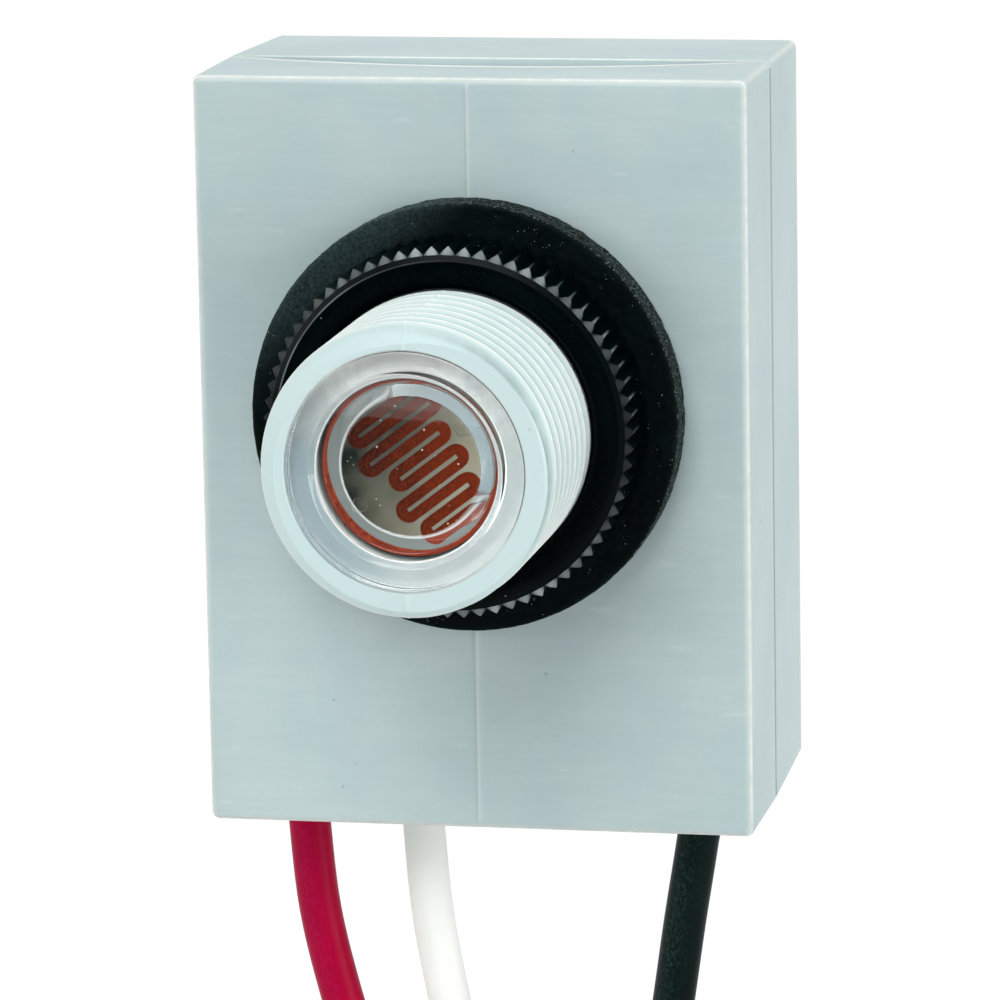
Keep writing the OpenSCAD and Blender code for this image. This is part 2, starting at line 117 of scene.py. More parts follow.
def piece(name, patches, body, replaced=(), sharp=35.0, marks=None):
    """One mesh from (points in mm, quads) patches: welded, turned outwards and riding on a body.

    Marks, one array for each patch, go into the mesh's mark attribute.
    """
    points = np.concatenate([p.reshape(-1, 3) for p, _ in patches])
    starts = np.cumsum([0] + [p.reshape(-1, 3).shape[0] for p, _ in patches[:-1]])
    faces = np.concatenate([q + s for (_, q), s in zip(patches, starts)])
    mesh = bpy.data.meshes.new(name)
    mesh.from_pydata(points * MM, [], faces.tolist())
    if marks is not None:
        mark = mesh.attributes.new("mark", "FLOAT", "POINT")
        mark.data.foreach_set("value", np.concatenate([m.ravel() for m in marks]).astype(np.float32))
    shape = bmesh.new()
    shape.from_mesh(mesh)
    bmesh.ops.remove_doubles(shape, verts=shape.verts, dist=WELD * MM)
    bmesh.ops.dissolve_degenerate(shape, edges=shape.edges, dist=WELD * MM)
    bmesh.ops.recalc_face_normals(shape, faces=shape.faces)
    shape.to_mesh(mesh)
    shape.free()
    mesh.shade_smooth()
    mesh.set_sharp_from_angle(angle=math.radians(sharp))
    made = bpy.data.objects.new(name, mesh)
    bpy.context.scene.collection.objects.link(made)
    if body:
        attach(made, body)
    if replaced:
        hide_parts(*replaced)
    print(name, len(mesh.polygons), "faces")
    return made


def smooth_step(low, high, x):
    """Rises from 0 at low to 1 at high with level ends: 3t^2 - 2t^3."""
    t = np.clip((x - low) / (high - low), 0, 1)
    return t * t * (3 - 2 * t)


def bell(x, at, wide):
    """Bell curve: 1 where x is at the middle, and e to the minus square of the distance in widths elsewhere."""
    return np.exp(-(((x - at) / wide) ** 2))


# %% [markdown]
# ## Leads
# Three insulated leads leave the bottom of the case and hang under their own weight. Each could be
# a curve with a round bevel, but a tube swept by hand keeps its cut end square. The route's points
# are those of the CAD tube. A Catmull-Rom curve runs through them: between two points it blends the
# tangents that their neighbours give, so the lead bends evenly.

# %% Routes of the leads
WIRE_R = 1.6
WIRE_SIDES = 40
CURVE_STEPS = 10
EXIT_Y = 11.0
EXIT_Z = -31.5
ROUTES = {
    "red": (-15.6, [(0, 0, 6.5), (0, 0, 0), (0.1, 0, -3.5), (0.7, 0, -9.5), (2, 0, -15.5), (4, 0, -22.5),
        (6.2, 0.4, -30.5), (8.2, 1, -39.5), (9.6, 1.6, -48.5), (10.6, 2, -58.5), (11.2, 2.2, -68.5),
        (11.4, 2.2, -78.5), (11.4, 2, -88.5), (11.2, 1.8, -98.5), (11, 1.4, -108.5), (10.6, 1, -118.5),
        (10.2, 0.6, -128.5), (9.8, 0.3, -136.5), (9.4, 0, -144)]),
    "white": (-6.7, [(0, 0, 6.5), (0, 0, 0), (0.1, 0, -3.5), (0.6, 0, -9.5), (1.6, 0, -15.5), (3.1, 0, -22.5),
        (4.7, -0.4, -30.5), (5.9, -1, -39.5), (6.7, -1.6, -48.5), (7.2, -2.2, -58.5), (7.5, -2.6, -68.5),
        (7.6, -2.9, -78.5), (7.6, -3, -88.5), (7.5, -3, -98.5), (7.3, -2.9, -108.5), (7, -2.7, -118.5),
        (6.7, -2.4, -128.5), (6.4, -2.2, -136.5), (6.1, -2, -144)]),
    "black": (14.9, [(0, 0, 6.5), (0, 0, 0), (-0.5, 0, -3.5), (-1.5, 0, -9.5), (-2.4, 0, -15.5),
        (-3.5, 0, -22.5), (-4.7, 0.3, -30.5), (-5.9, 0.8, -39.5), (-6.9, 1.3, -48.5), (-7.8, 1.7, -58.5),
        (-8.4, 2, -68.5), (-8.8, 2.1, -78.5), (-9, 2.1, -88.5), (-9, 2, -98.5), (-8.8, 1.8, -108.5),
        (-8.5, 1.5, -118.5), (-8.1, 1.2, -128.5), (-7.7, 0.9, -136.5), (-7.3, 0.6, -144)]),
}


def smooth_route(points):
    """Catmull-Rom curve through the points: a cubic in t between each pair, tangents from the neighbours."""
    p = np.concatenate([2 * points[:1] - points[1:2], points, 2 * points[-1:] - points[-2:-1]])
    t = np.linspace(0, 1, CURVE_STEPS, endpoint=False)[:, None, None]
    a, b, c, d = p[:-3], p[1:-2], p[2:-1], p[3:]
    run = 2 * b + (c - a) * t + (2 * a - 5 * b + 4 * c - d) * t**2 + (3 * (b - c) + d - a) * t**3
    return np.concatenate([run.transpose(1, 0, 2).reshape(-1, 3) / 2, points[-1:]])


def cross_axes(path):
    """Two unit vectors across the path at each point, the first of them level with the frame's X and Z."""
    way = np.gradient(path, axis=0)
    way /= np.linalg.norm(way, axis=1, keepdims=True)
    side = np.cross(way, [0, 1, 0])
    side /= np.linalg.norm(side, axis=1, keepdims=True)
    return side, np.cross(side, way)


def tube(path, radius, sides):
    """Circle carried along a path: path(v) + radius (cos u side(v) + sin u other(v)), ends closed to a point."""
    side, other = cross_axes(path)
    u = np.linspace(0, 2 * np.pi, sides, endpoint=False)[None, :, None]
    rings = path[:, None] + radius * (np.cos(u) * side[:, None] + np.sin(u) * other[:, None])
    caps = [np.repeat(path[i][None, None], sides, 1) for i in (0, -1)]
    rings = np.concatenate([caps[0], rings, caps[1]])
    return rings, grid_faces(len(rings), sides)


def path_length(path):
    """Length of a path: the sum of the distances between its points."""
    return np.linalg.norm(np.diff(path, axis=0), axis=1).sum()


routes = {}
for colour, (exit_x, offsets) in ROUTES.items():
    routes[colour] = smooth_route(np.array(offsets, float) + [exit_x, EXIT_Y, EXIT_Z])
    print(colour, round(float(path_length(routes[colour])), 1), "mm long")

# %% [markdown]
# ## Bare strands
# Each lead has its copper stripped at the far end, and an inner tail that reaches a terminal. The copper is a twist of
# fine strands: one in the middle and six round it. Each outer strand is a helix, so the same tube function sweeps it,
# and the ends are cut square. The leads' marks lie along one side, where a sheen is painted on the insulation.

# %% Leads and strands
STRAND_R = 0.3
STRAND_SIDES, STRAND_STEPS = 10, 24
OUTER_STRANDS = 6
TWIST_R, TWIST_PITCH = 0.58, 9.0
STRIP_L = 8.5
TAIL_L = 5.5
# Painted sheen: the leads' marks paint a pale sheen round this angle of each lead, towards the front left.
WIRE_SHEEN_AT, WIRE_SHEEN_WIDE = 245.0, 42.0


def twist(start, way, length):
    """Patches of a bundle: strand k follows start + s way + r (cos, sin)(2 pi s / pitch + k sixth of a turn)."""
    way = way / np.linalg.norm(way)
    side = np.cross(way, [0, 1, 0])
    side /= np.linalg.norm(side)
    other = np.cross(side, way)
    s = np.linspace(0, length, STRAND_STEPS)[:, None]
    patches = [tube(start + s * way, STRAND_R, STRAND_SIDES)]
    for k in range(OUTER_STRANDS):
        a = 2 * np.pi * (s / TWIST_PITCH + k / OUTER_STRANDS)
        path = start + s * way + TWIST_R * (np.cos(a) * side + np.sin(a) * other)
        patches.append(tube(path, STRAND_R, STRAND_SIDES))
    return patches


leads, strands = {}, {}
for colour, path in routes.items():
    u = np.linspace(0, 360, WIRE_SIDES, endpoint=False)
    painted_sheen = np.tile(bell(u, WIRE_SHEEN_AT, WIRE_SHEEN_WIDE), (len(path) + 2, 1))
    wire = "wire_" + colour
    leads[colour] = piece("lead_" + colour, [tube(path, WIRE_R, WIRE_SIDES)], "case", [wire], marks=[painted_sheen])
    copper = twist(path[-1], path[-1] - path[-2], STRIP_L) + twist(path[0], path[0] - path[1], TAIL_L)
    strands[colour] = piece("copper_" + colour, copper, "case", ["strands_" + colour])

# %% [markdown]
# ## Shader arithmetic
# Each finish is a small formula: noise, masks and mixes. Written node by node it would be hard to
# read, so a wrapper round a socket overloads plus, minus and times, and one method adds any other
# node. An expression such as `1 - mask * 0.5` then builds its own Math nodes.


# %% Shader helpers
class Shade:
    """A socket of one material; arithmetic on it adds Math nodes, and node() adds any other node."""

    def __init__(self, tree, socket=None):
        self.tree = tree
        self.socket = socket

    def node(self, kind, settings=None, inputs=None, out=0):
        """Adds a node: settings first, then values or links of its sockets."""
        made = self.tree.nodes.new(kind)
        for name, value in (settings or {}).items():
            setattr(made, name, value)
        for key, value in (inputs or {}).items():
            if isinstance(value, Shade):
                self.tree.links.new(value.socket, made.inputs[key])
            else:
                made.inputs[key].default_value = value
        return Shade(self.tree, made.outputs[out])

    def math(self, operation, *values):
        """A Math node on numbers or sockets."""
        return self.node("ShaderNodeMath", {"operation": operation}, dict(enumerate(values)))

    def __add__(self, other):
        return self.math("ADD", self, other)

    def __sub__(self, other):
        return self.math("SUBTRACT", self, other)

    def __rsub__(self, other):
        return self.math("SUBTRACT", other, self)

    def __mul__(self, other):
        return self.math("MULTIPLY", self, other)

    __radd__ = __add__
    __rmul__ = __mul__

    def clip(self, low, high):
        """Stretches the range from low to high over 0 to 1, with soft ends."""
        return self.node("ShaderNodeMapRange", {"interpolation_type": "SMOOTHSTEP"}, {0: self, 1: low, 2: high})

    def mix(self, dark, light):
        """A colour between two, by this value."""
        return self.node("ShaderNodeMix", {"data_type": "RGBA"}, {0: self, 6: dark, 7: light}, 2)

    def spot(self):
        """Object coordinates, in metres."""
        return self.node("ShaderNodeTexCoord", out=3)

    def noise(self, scale, detail=3.0, stretch=None):
        """Noise on Object coordinates, scale in features per metre; a stretch under 1 draws it out along an axis."""
        at = self.spot()
        if stretch:
            at = self.node("ShaderNodeMapping", None, {0: at, 3: stretch})
        inputs = {"Vector": at, "Scale": scale, "Detail": detail, "Roughness": 0.55}
        return self.node("ShaderNodeTexNoise", None, inputs)

    def specks(self, scale, size):
        """1 inside small round specks, one in each cell of a Voronoi pattern, 0 outside."""
        gap = self.node("ShaderNodeTexVoronoi", {"feature": "F1"}, {"Vector": self.spot(), "Scale": scale})
        return 1 - gap.clip(size * 0.6, size)

    def mark(self):
        """The number that the mesh carries at each point in its mark attribute."""
        return self.node("ShaderNodeAttribute", {"attribute_name": "mark"}, out=2)

    def vector_math(self, operation, *values, out=0):
        """A Vector Math node on vectors or sockets."""
        return self.node("ShaderNodeVectorMath", {"operation": operation}, dict(enumerate(values)), out)

    def from_axis(self, x=0.0, z=0.0):
        """Distance in millimetres from the stem's axis, or from a line x and z beside it."""
        flat = self.vector_math("MULTIPLY_ADD", self.spot(), (1 / MM, 0, 1 / MM), (-x, 0, -z))
        return self.vector_math("LENGTH", flat, out=1)

    def along(self, way):
        """Distance from the origin in millimetres along a direction."""
        return self.vector_math("DOT_PRODUCT", self.spot(), tuple(c / MM for c in way), out=1)

    def bump(self, height, strength, depth):
        """Normal of a surface that this height field raises by depth metres."""
        return self.node("ShaderNodeBump", None, {"Strength": strength, "Distance": depth, "Height": height})


# %% [markdown]
# A finish is then a recipe: a function that gives, for some of the shader's sockets, the formula that
# feeds them. Sockets that stay the same all over the piece are set as plain numbers. Colours are
# written as they look on a screen and turned into the linear values that Blender reckons with.


# %% Finish helpers
def rgb(r, g, b):
    """Screen colour from 0 to 255 as the linear colour that Blender's sockets take."""
    c = np.array([r, g, b]) / 255
    return (*np.where(c <= 0.04045, c / 12.92, ((c + 0.055) / 1.055) ** 2.4), 1.0)


def finish_of(name, recipe, **constants):
    """A material: recipe(shade) gives the varying sockets by name, constants set the shader's own sockets."""
    made = bpy.data.materials.new(name)
    made.use_nodes = True
    tree = made.node_tree
    shader = tree.nodes["Principled BSDF"]
    for key, value in constants.items():
        shader.inputs[key.replace("_", " ")].default_value = value
    for key, value in recipe(Shade(tree)).items():
        tree.links.new(value.socket, shader.inputs[key])
    return made


def dress(finish, *targets):
    """Gives a finish to pieces, or to CAD nodes by name."""
    for target in targets:
        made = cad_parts[target] if isinstance(target, str) else target
        made.data.materials.clear()
        made.data.materials.append(finish)
    print(finish.name, "on", len(targets), "pieces")


# %% [markdown]
# ## Insulation and copper
# The leads are covered in smooth extruded plastic. It is never quite even: the colour drifts a little, the gloss is
# broken by fine lines along the lead, and one side has a painted sheen. The noise is drawn out along Z, the way the
# leads hang, so the lines run with the lead. Copper strands are a satin metal with a stain.

# %% Finishes of the leads
# Each lead's dark tone, light tone and the colour of its painted sheen.
WIRE_COLOURS = {
    "red": (rgb(158, 0, 44), rgb(174, 2, 56), rgb(204, 36, 110)),
    "white": (rgb(247, 249, 243), rgb(252, 253, 249), rgb(244, 250, 240)),
    "black": (rgb(1, 14, 13), rgb(3, 23, 21), rgb(62, 92, 88)),
}
COPPER_BRIGHT, COPPER_STAIN = rgb(214, 140, 96), rgb(150, 84, 50)


def insulation(dark, light, sheen_colour):
    """Recipe of one lead's plastic: two close tones, and a painted sheen where the mark lies."""
    def recipe(s):
        drift = s.noise(160).clip(0.3, 0.7)
        lines = s.noise(900, stretch=(1, 1, 0.06))
        # Painted sheen along the side where the mark lies.
        wire_sheen = s.mark() * (0.05 + 0.35 * s.noise(6000, stretch=(1, 1, 0.5)).clip(0.45, 0.75))
        return {"Base Color": wire_sheen.mix(drift.mix(dark, light), sheen_colour), "Roughness": 0.3 + 0.16 * lines,
            "Normal": s.bump(lines + s.noise(2600) * 0.4, 0.25, 0.00006)}
    return recipe


def copper_recipe(s):
    stain = s.noise(700).clip(0.45, 0.75)
    return {"Base Color": stain.mix(COPPER_BRIGHT, COPPER_STAIN), "Roughness": 0.26 + 0.2 * stain}


for colour, tones in WIRE_COLOURS.items():
    finish = finish_of("insulation_" + colour, insulation(*tones), IOR=1.3, Specular_IOR_Level=0.15)
    dress(finish, leads[colour])
dress(finish_of("bare_copper", copper_recipe, Metallic=1.0), *strands.values())

# %% [markdown]
# ## Outline of the case
# Both halves of the case share one outline: a rectangle with small round corners. To carry it into
# the round stem without a seam, every ring of the case has the same columns, and a column keeps its
# angle about the stem's axis. A column has a base point on the rectangle inside the rounded edge and
# a direction out of it, so base + radius x direction gives the wall at any rounding. Extra columns
# lie along the mould line, at the corners and round the holes for the leads.

# %% Columns of the case
CASE_HALF = 20.5
CASE_LOW, CASE_HIGH = -31.5, 24.5
EDGE_R = 0.6
HOLE_R = 1.75
HOLES_X = np.array([exit_x for exit_x, _ in ROUTES.values()])
COLUMN_DEGREES = 1.5
HOLE_COLUMNS, CORNER_COLUMNS = 15, 8
LINE_COLUMNS = np.array([0.05, 0.1, 0.16, 0.24, 0.36])
NUDGE, NEAR, TINY = 1e-4, 1e-6, 1e-9
flat_w, flat_low, flat_high = CASE_HALF - EDGE_R, CASE_LOW + EDGE_R, CASE_HIGH - EDGE_R


def column_angles(base, out):
    """Angle of each column about the stem's axis; a nudge along its direction keeps a corner's columns in order."""
    x, z = (base + NUDGE * out).T
    return np.arctan2(z, x) % (2 * np.pi)


def case_columns():
    """Base points and outward directions of the columns, by angle: rays to the rectangle, then corner arcs."""
    even = np.radians(np.arange(0, 360, COLUMN_DEGREES))
    line = np.concatenate([-LINE_COLUMNS, LINE_COLUMNS])
    hole = HOLE_R * np.sin(np.linspace(-np.pi / 2, np.pi / 2, HOLE_COLUMNS))
    low_x = np.concatenate([line, *(x + hole for x in HOLES_X)])
    rays = np.concatenate([even, np.arctan2(flat_high, line), np.arctan2(flat_low, low_x)])
    c, s = np.cos(rays), np.sin(rays)
    to_side = flat_w / np.maximum(np.abs(c), TINY)
    to_end = np.where(s > 0, flat_high, -flat_low) / np.maximum(np.abs(s), TINY)
    reach = np.minimum(to_side, to_end)
    base = np.stack([reach * c, reach * s], 1)
    upright = np.abs(np.abs(base[:, 0]) - flat_w) < NEAR
    out = np.where(upright[:, None], np.stack([np.sign(c), 0 * c], 1), np.stack([0 * s, np.sign(s)], 1))
    corners = np.array([[flat_w, flat_high], [-flat_w, flat_high], [-flat_w, flat_low], [flat_w, flat_low]])
    fan = np.radians(np.linspace(0, 90, CORNER_COLUMNS)[None] + 90 * np.arange(4)[:, None])
    arcs = np.stack([np.cos(fan), np.sin(fan)], -1).reshape(-1, 2)
    base = np.concatenate([base, np.repeat(corners, CORNER_COLUMNS, 0)])
    out = np.concatenate([out, arcs])
    order = np.argsort(column_angles(base, out), kind="stable")
    return base[order], out[order]


base, out = case_columns()
angle = column_angles(base, out)
columns = len(angle)
print("columns", columns)

# %% [markdown]
# Four short helpers make the rings that both halves are stacked from: a ring of the outer wall, a
# ring of the inside, a circle about the stem, and straight steps between any two rings.


# %% Rings of the case
def wall_ring(y, rounding=EDGE_R, draw=0.0):
    """Ring of the case at depth y: base drawn in by draw, plus rounding times the outward direction."""
    b = np.clip(base, [draw - flat_w, draw + flat_low], [flat_w - draw, flat_high - draw]) + rounding * out
    return np.stack([b[:, 0], np.broadcast_to(y, columns), b[:, 1]], 1)


def inner_ring(y, wall):
    """Ring of an inside wall at depth y, a wall's thickness in from the outside."""
    return wall_ring(y, 0.0, wall - EDGE_R)


def round_ring(radius, forward):
    """Circle about the stem's axis, radius and forward distance each one number or one per column."""
    r = np.broadcast_to(radius, columns)
    return np.stack([r * np.cos(angle), -np.broadcast_to(forward, columns), r * np.sin(angle)], 1)


def between(a, b, steps):
    """Rings that run straight from ring a to ring b, without the first."""
    return [a + (b - a) * t for t in np.linspace(0, 1, steps + 1)[1:]]


print("outline", np.ptp(wall_ring(0.0), 0).round(2), "mm")

# %% [markdown]
# ## Front half and stem
# The front half is moulded in one piece with the stem, so it is one closed surface: from the rim
# at the seam over the outer wall, round the front edge, in across the face, along the thread, over
# the stem's end, down through the stepped bore and back along the inside to the rim. The thread
# is the part that needs care. On a plain grid its crests would cut across the rows and look ragged.
# So the rows climb with the helix: each row rises one pitch in a turn, and the last column joins
# the first one pitch further on. Rows that pass either end are held there and welded.

# %% Thread
PITCH = 1.814
CREST_R, ROOT_R, NECK_R = 10.45, 9.0, 10.15
STEM_L = 23.3
THREAD_FROM = 1.0
CHAMFER = 0.5
THREAD_WEAR = 0.025
RIDGE_H, RIDGE_WIDE = 0.04, 0.5
MOULD_LINES = (90, 270)
KINK_TURN = 28 / 360
PROFILE_AT = np.array([0, 0.1, 0.28, 0.4, 1.0])
PROFILE_R = np.array([ROOT_R, ROOT_R, CREST_R, CREST_R, ROOT_R])
ROW_AT = np.array([0, 0.04, 0.07, 0.1, 0.13, 0.19, 0.25, 0.28, 0.31, 0.37, 0.4, 0.43, 0.5, 0.66, 0.82, 0.95])
START_TURN = KINK_TURN + PROFILE_AT[2]


def parting(degrees_at, width):
    """Bell-shaped ridge along the mould's parting lines, at the top and the bottom of the stem."""
    off = np.minimum(*(np.abs(degrees_at - line) for line in MOULD_LINES))
    return bell(off, 0, width)


def thread_radius(turn, forward):
    """Radius of the thread: a worn trapezium over the phase forward / pitch - turn, cut by a 45 degree cone."""
    phase = (forward - STEM_L) / PITCH - (turn - START_TURN)
    blur = np.linspace(-THREAD_WEAR, THREAD_WEAR, 5)
    r = np.mean([np.interp((phase + d) % 1, PROFILE_AT, PROFILE_R) for d in blur], 0)
    r = NECK_R + (r - NECK_R) * smooth_step(THREAD_FROM, THREAD_FROM + PITCH, forward)
    r = r + RIDGE_H * parting(turn * 360, RIDGE_WIDE)
    return np.minimum(r, CREST_R - CHAMFER + (STEM_L - forward))


turn = angle / (2 * np.pi)
turns = math.ceil((STEM_L - THREAD_FROM) / PITCH) + 1
row_phase = (np.arange(turns + 1)[:, None] + ROW_AT).ravel()
first = STEM_L - turns * PITCH
helix = np.clip(first + PITCH * (row_phase[:, None] + turn - START_TURN), THREAD_FROM, STEM_L)
radius = thread_radius(turn, helix)
thread_points = np.stack([radius * np.cos(angle), -helix, radius * np.sin(angle)], -1)
rows, per_pitch = len(row_phase), len(ROW_AT)
plain = grid_faces(rows, columns, around=False)
j = np.arange(rows - 1 - per_pitch)
climb = np.stack([j * columns + columns - 1, (j + per_pitch) * columns, (j + per_pitch + 1) * columns,
    (j + 1) * columns + columns - 1], 1)
thread = (thread_points, np.concatenate([plain, climb]))
print("thread rows", rows, "turns", turns)

# %% [markdown]
# The wall near the seam bows in a little along the top, as thin mouldings do when they cool, and a
# fine line runs down the face where the two halves of the mould met. Both could be bump in the
# finish, but they are moved in the mesh, so they show from every side.

# %% Outside of the front half
FRONT_END = 10.75
RIM_R, ROUND_STEPS = 0.15, 6
BOW, BOW_FROM = 0.55, 0.6
LINE_H, LINE_W = 0.08, 0.16
WALL_AT = (0.06, 0.09, 0.11, 0.3, 0.5, 0.65, 0.8, 0.9, 1)
FACE_BORDER, FACE_STEPS = 0.5, 14
SQUARE = 0.99

on_sides = np.abs(out[:, 0]) > SQUARE
at_hole = np.min(np.abs(base[:, :1] - HOLES_X), 1)
in_hole = (out[:, 1] < -SQUARE) & (at_hole < HOLE_R)
notch = np.where(in_hole, np.sqrt(np.maximum(HOLE_R**2 - at_hole**2, 0)), 0)
top_side = np.where(out[:, 1] > SQUARE, np.maximum(1 - (base[:, 0] / flat_w) ** 2, 0), 0)


def front_rim(depth):
    """Depth of the front half's rim, cut back round the holes for the leads."""
    return np.where(notch > 0, np.minimum(depth, EXIT_Y - notch), depth)


def bowed(ring):
    """Lowers the top wall towards the seam by a parabola across its width."""
    ring = ring.copy()
    ring[:, 2] -= BOW * top_side * smooth_step(BOW_FROM, FRONT_END, ring[:, 1])
    return ring


def lined(ring):
    """Raises the mould line down the middle of the face."""
    ring = ring.copy()
    ring[:, 1] -= LINE_H * bell(ring[:, 0], 0, LINE_W)
    return ring


rim = front_rim(FRONT_END)
bend = np.radians(np.linspace(0, 90, ROUND_STEPS))
shell = [bowed(wall_ring(rim - RIM_R * (1 - math.sin(b)), EDGE_R - RIM_R * (1 - math.cos(b)))) for b in bend[::-1]]
shell += [bowed(wall_ring(rim + (EDGE_R - rim) * t)) for t in WALL_AT]
shell += [wall_ring(EDGE_R * (1 - math.sin(b)), EDGE_R * math.cos(b)) for b in bend[1:]]
border = wall_ring(0.0, 0.0, FACE_BORDER)
face = [shell.pop(), border] + between(border, round_ring(NECK_R, 0.0), FACE_STEPS)
shell += [lined(ring) for ring in face]
shell.append(round_ring(thread_radius(turn, np.full(columns, THREAD_FROM)), THREAD_FROM))
print("rings outside", len(shell))

# %% [markdown]
# The stem's end has small nubs where the mould's parting lines and its gate were trimmed. Behind it
# lie the lens's seat, the bore with a broken edge, the cell's seat and a hole for the cell's wires.
# The inside of the case follows, with a step at the rim that takes the rear half's lip.

# %% Inside of the front half
SEAT_R, LENS_SEAT = 8.58, 21.2
BORE_R, CELL_SEAT = 6.9, 18.18
LEAD_BORE_R = 5.4
WALL = 2.0
LIP_FROM = 9.0
SEAT_EDGE = 0.1
STEP_OUT, STEP_IN = 0.16, 0.14
NUB_H, NUB_WIDE = 0.12, 1.0
GATE_AT, GATE_H, GATE_WIDE = 141, 0.1, 1.6

end_r = thread_radius(turn, np.full(columns, STEM_L))
end_at = STEM_L + (NUB_H * parting(turn * 360, NUB_WIDE) + GATE_H * bell(turn * 360, GATE_AT, GATE_WIDE))
bore = [round_ring(r, forward) for r, forward in (
    (end_r, STEM_L), (end_r * 0.9 + SEAT_R * 0.1, end_at), ((end_r + SEAT_R) / 2, end_at), (SEAT_R + SEAT_EDGE, end_at),
    (SEAT_R, STEM_L - SEAT_EDGE), (SEAT_R, LENS_SEAT), (BORE_R + STEP_OUT, LENS_SEAT), (BORE_R + STEP_IN, LENS_SEAT),
    (BORE_R, LENS_SEAT - STEP_IN), (BORE_R, CELL_SEAT), (LEAD_BORE_R, CELL_SEAT), (LEAD_BORE_R, -WALL))]
bore += between(bore[-1], inner_ring(WALL, WALL), 3)
bore += [inner_ring(np.minimum(LIP_FROM, front_rim(LIP_FROM)), WALL), inner_ring(np.minimum(LIP_FROM, rim), WALL / 2),
    inner_ring(rim, WALL / 2), shell[0]]
print("rings inside", len(bore))

# %% [markdown]
# The marks give each ring painted light and shade: above 0 it turns cream and then white, a painted highlight; below 0
# it turns grey, a painted shade. The rim, the front edge, the corners, the mould line, the thread's crests, the lens's
# seat and the bore's step get painted highlights; the seam on the sides, a line beside the mould line and the thread's
# flanks get painted shade. The outside, the inside and the thread then become one mesh.

# %% Painted highlights and shade on the front half
RIM_HIGHLIGHT, RIM_HIGHLIGHT_ROWS = 1.0, 8
PLAIN_ROWS = 6
EDGE_HIGHLIGHT = [0.0, 0.3, 0.75, 0.35, 0.15, 0.05]
CORNER_HIGHLIGHT = 0.5
SEAM_PAINTED_SHADE = -1.0
LINE_HIGHLIGHT, LINE_HIGHLIGHT_WIDE = 0.45, 0.08
LINE_SHADOW, LINE_SHADOW_AT, LINE_SHADOW_WIDE = 0.3, -0.17, 0.06
GLOW_AT = [0, 60, 90, 120, 150, 180, 230, 270, 320, 360]
SEAT_PAINTED_GLOW = [0.32, 0.8, 1, 0.9, 0.4, 0, 0.05, 0.35, 0.42, 0.32]
SEAT_ROWS, STEP_ROWS = slice(4, 7), slice(7, 9)
CREST_HIGHLIGHT, FLANK_SHADE = 0.8, 0.5

# Painted highlight on the corners of the outline.
corner = CORNER_HIGHLIGHT * (2 * np.abs(out[:, 0] * out[:, 1])) ** 3
top_highlight = 0.25 + 0.75 * np.sqrt(top_side)
# Painted highlights along the rim at the seam, strongest in the middle of the top, and round the front edge.
edge_highlights = np.array([RIM_HIGHLIGHT] * RIM_HIGHLIGHT_ROWS + [0.0] * PLAIN_ROWS + EDGE_HIGHLIGHT)
shell_marks = np.zeros((len(shell), columns))
shell_marks[:len(edge_highlights)] = np.maximum(edge_highlights[:, None], corner)
shell_marks[:RIM_HIGHLIGHT_ROWS] *= top_highlight
# Painted shade in the seam on the sides.
shell_marks[:ROUND_STEPS, on_sides] = SEAM_PAINTED_SHADE
face_rows = slice(-len(face) - 1, -1)
face_x = np.array(shell)[face_rows, :, 0]
# Painted highlight along the mould line, and a painted shadow just left of it.
shell_marks[face_rows] = LINE_HIGHLIGHT * bell(face_x, 0, LINE_HIGHLIGHT_WIDE)
shell_marks[face_rows] -= LINE_SHADOW * bell(face_x, LINE_SHADOW_AT, LINE_SHADOW_WIDE)
bore_marks = np.zeros((len(bore), columns))
# Painted glow on the lens's seat, strongest at the top, and a painted highlight ring on the bore's step.
bore_marks[SEAT_ROWS] = np.interp(np.degrees(angle), GLOW_AT, SEAT_PAINTED_GLOW)
bore_marks[STEP_ROWS] = 1
# The flanks get painted shade below the crests, but not on the chamfer at the stem's end.
flank = 1 - smooth_step(CREST_R - 0.45, CREST_R - 0.05, radius)
flank = flank * (1 - smooth_step(STEM_L - 1.1, STEM_L - 0.6, helix))
# Painted highlight on the thread's crests, painted shade on its flanks.
thread_marks = CREST_HIGHLIGHT * smooth_step(CREST_R - 0.15, CREST_R, radius) - FLANK_SHADE * flank
patches = [(np.array(p), grid_faces(len(p), columns)) for p in (shell, bore)]
marks = [shell_marks, bore_marks, thread_marks]
front = piece("front_half", patches + [thread], "case", ["front_case"], marks=marks)

# %% [markdown]
# ## Rear half
# The rear half is a tray: from the middle of its back out to the edge, forward along the outer
# wall to the seam, over the lip that fits inside the front half, and back along the inside. The
# same columns are used, drawn in slightly towards the back so that the moulding leaves its tool.
# Four posts stand on the inside of the back and carry the switch plate.

# %% Rear half
REAR_START = 11.0
CASE_D = 25.5
DRAFT = 0.3
LIP_T, LIP_EDGE = 0.9, 0.2
BASE_FRONT, BASE_BACK = 12.7, 14.3
POSTS = [(-11.15, -21.1), (4.1, -21.1), (-15.4, 10.1), (15.4, 10.1)]
POST_R, PEG_R, PEG_EDGE = 2.0, 1.2, 0.2


def rear_rim(depth):
    """Depth of the rear half's rim, cut back round the holes for the leads."""
    return np.where(notch > 0, np.maximum(depth, EXIT_Y + notch), depth)


def centre_ring(y):
    """Ring shrunk to one point, the middle of the back, at depth y."""
    return np.broadcast_to([0.0, y, (CASE_LOW + CASE_HIGH) / 2], (columns, 3))


def turned(spot, profile, sides=48):
    """Profile of (radius, depth) pairs spun about a line through the spot, along Y."""
    u = np.linspace(0, 2 * np.pi, sides, endpoint=False)
    r, y = np.array(profile, float).T[:, :, None]
    points = np.stack([spot[0] + r * np.cos(u), y + 0 * u, spot[1] + r * np.sin(u)], -1)
    return points, grid_faces(len(profile), sides)


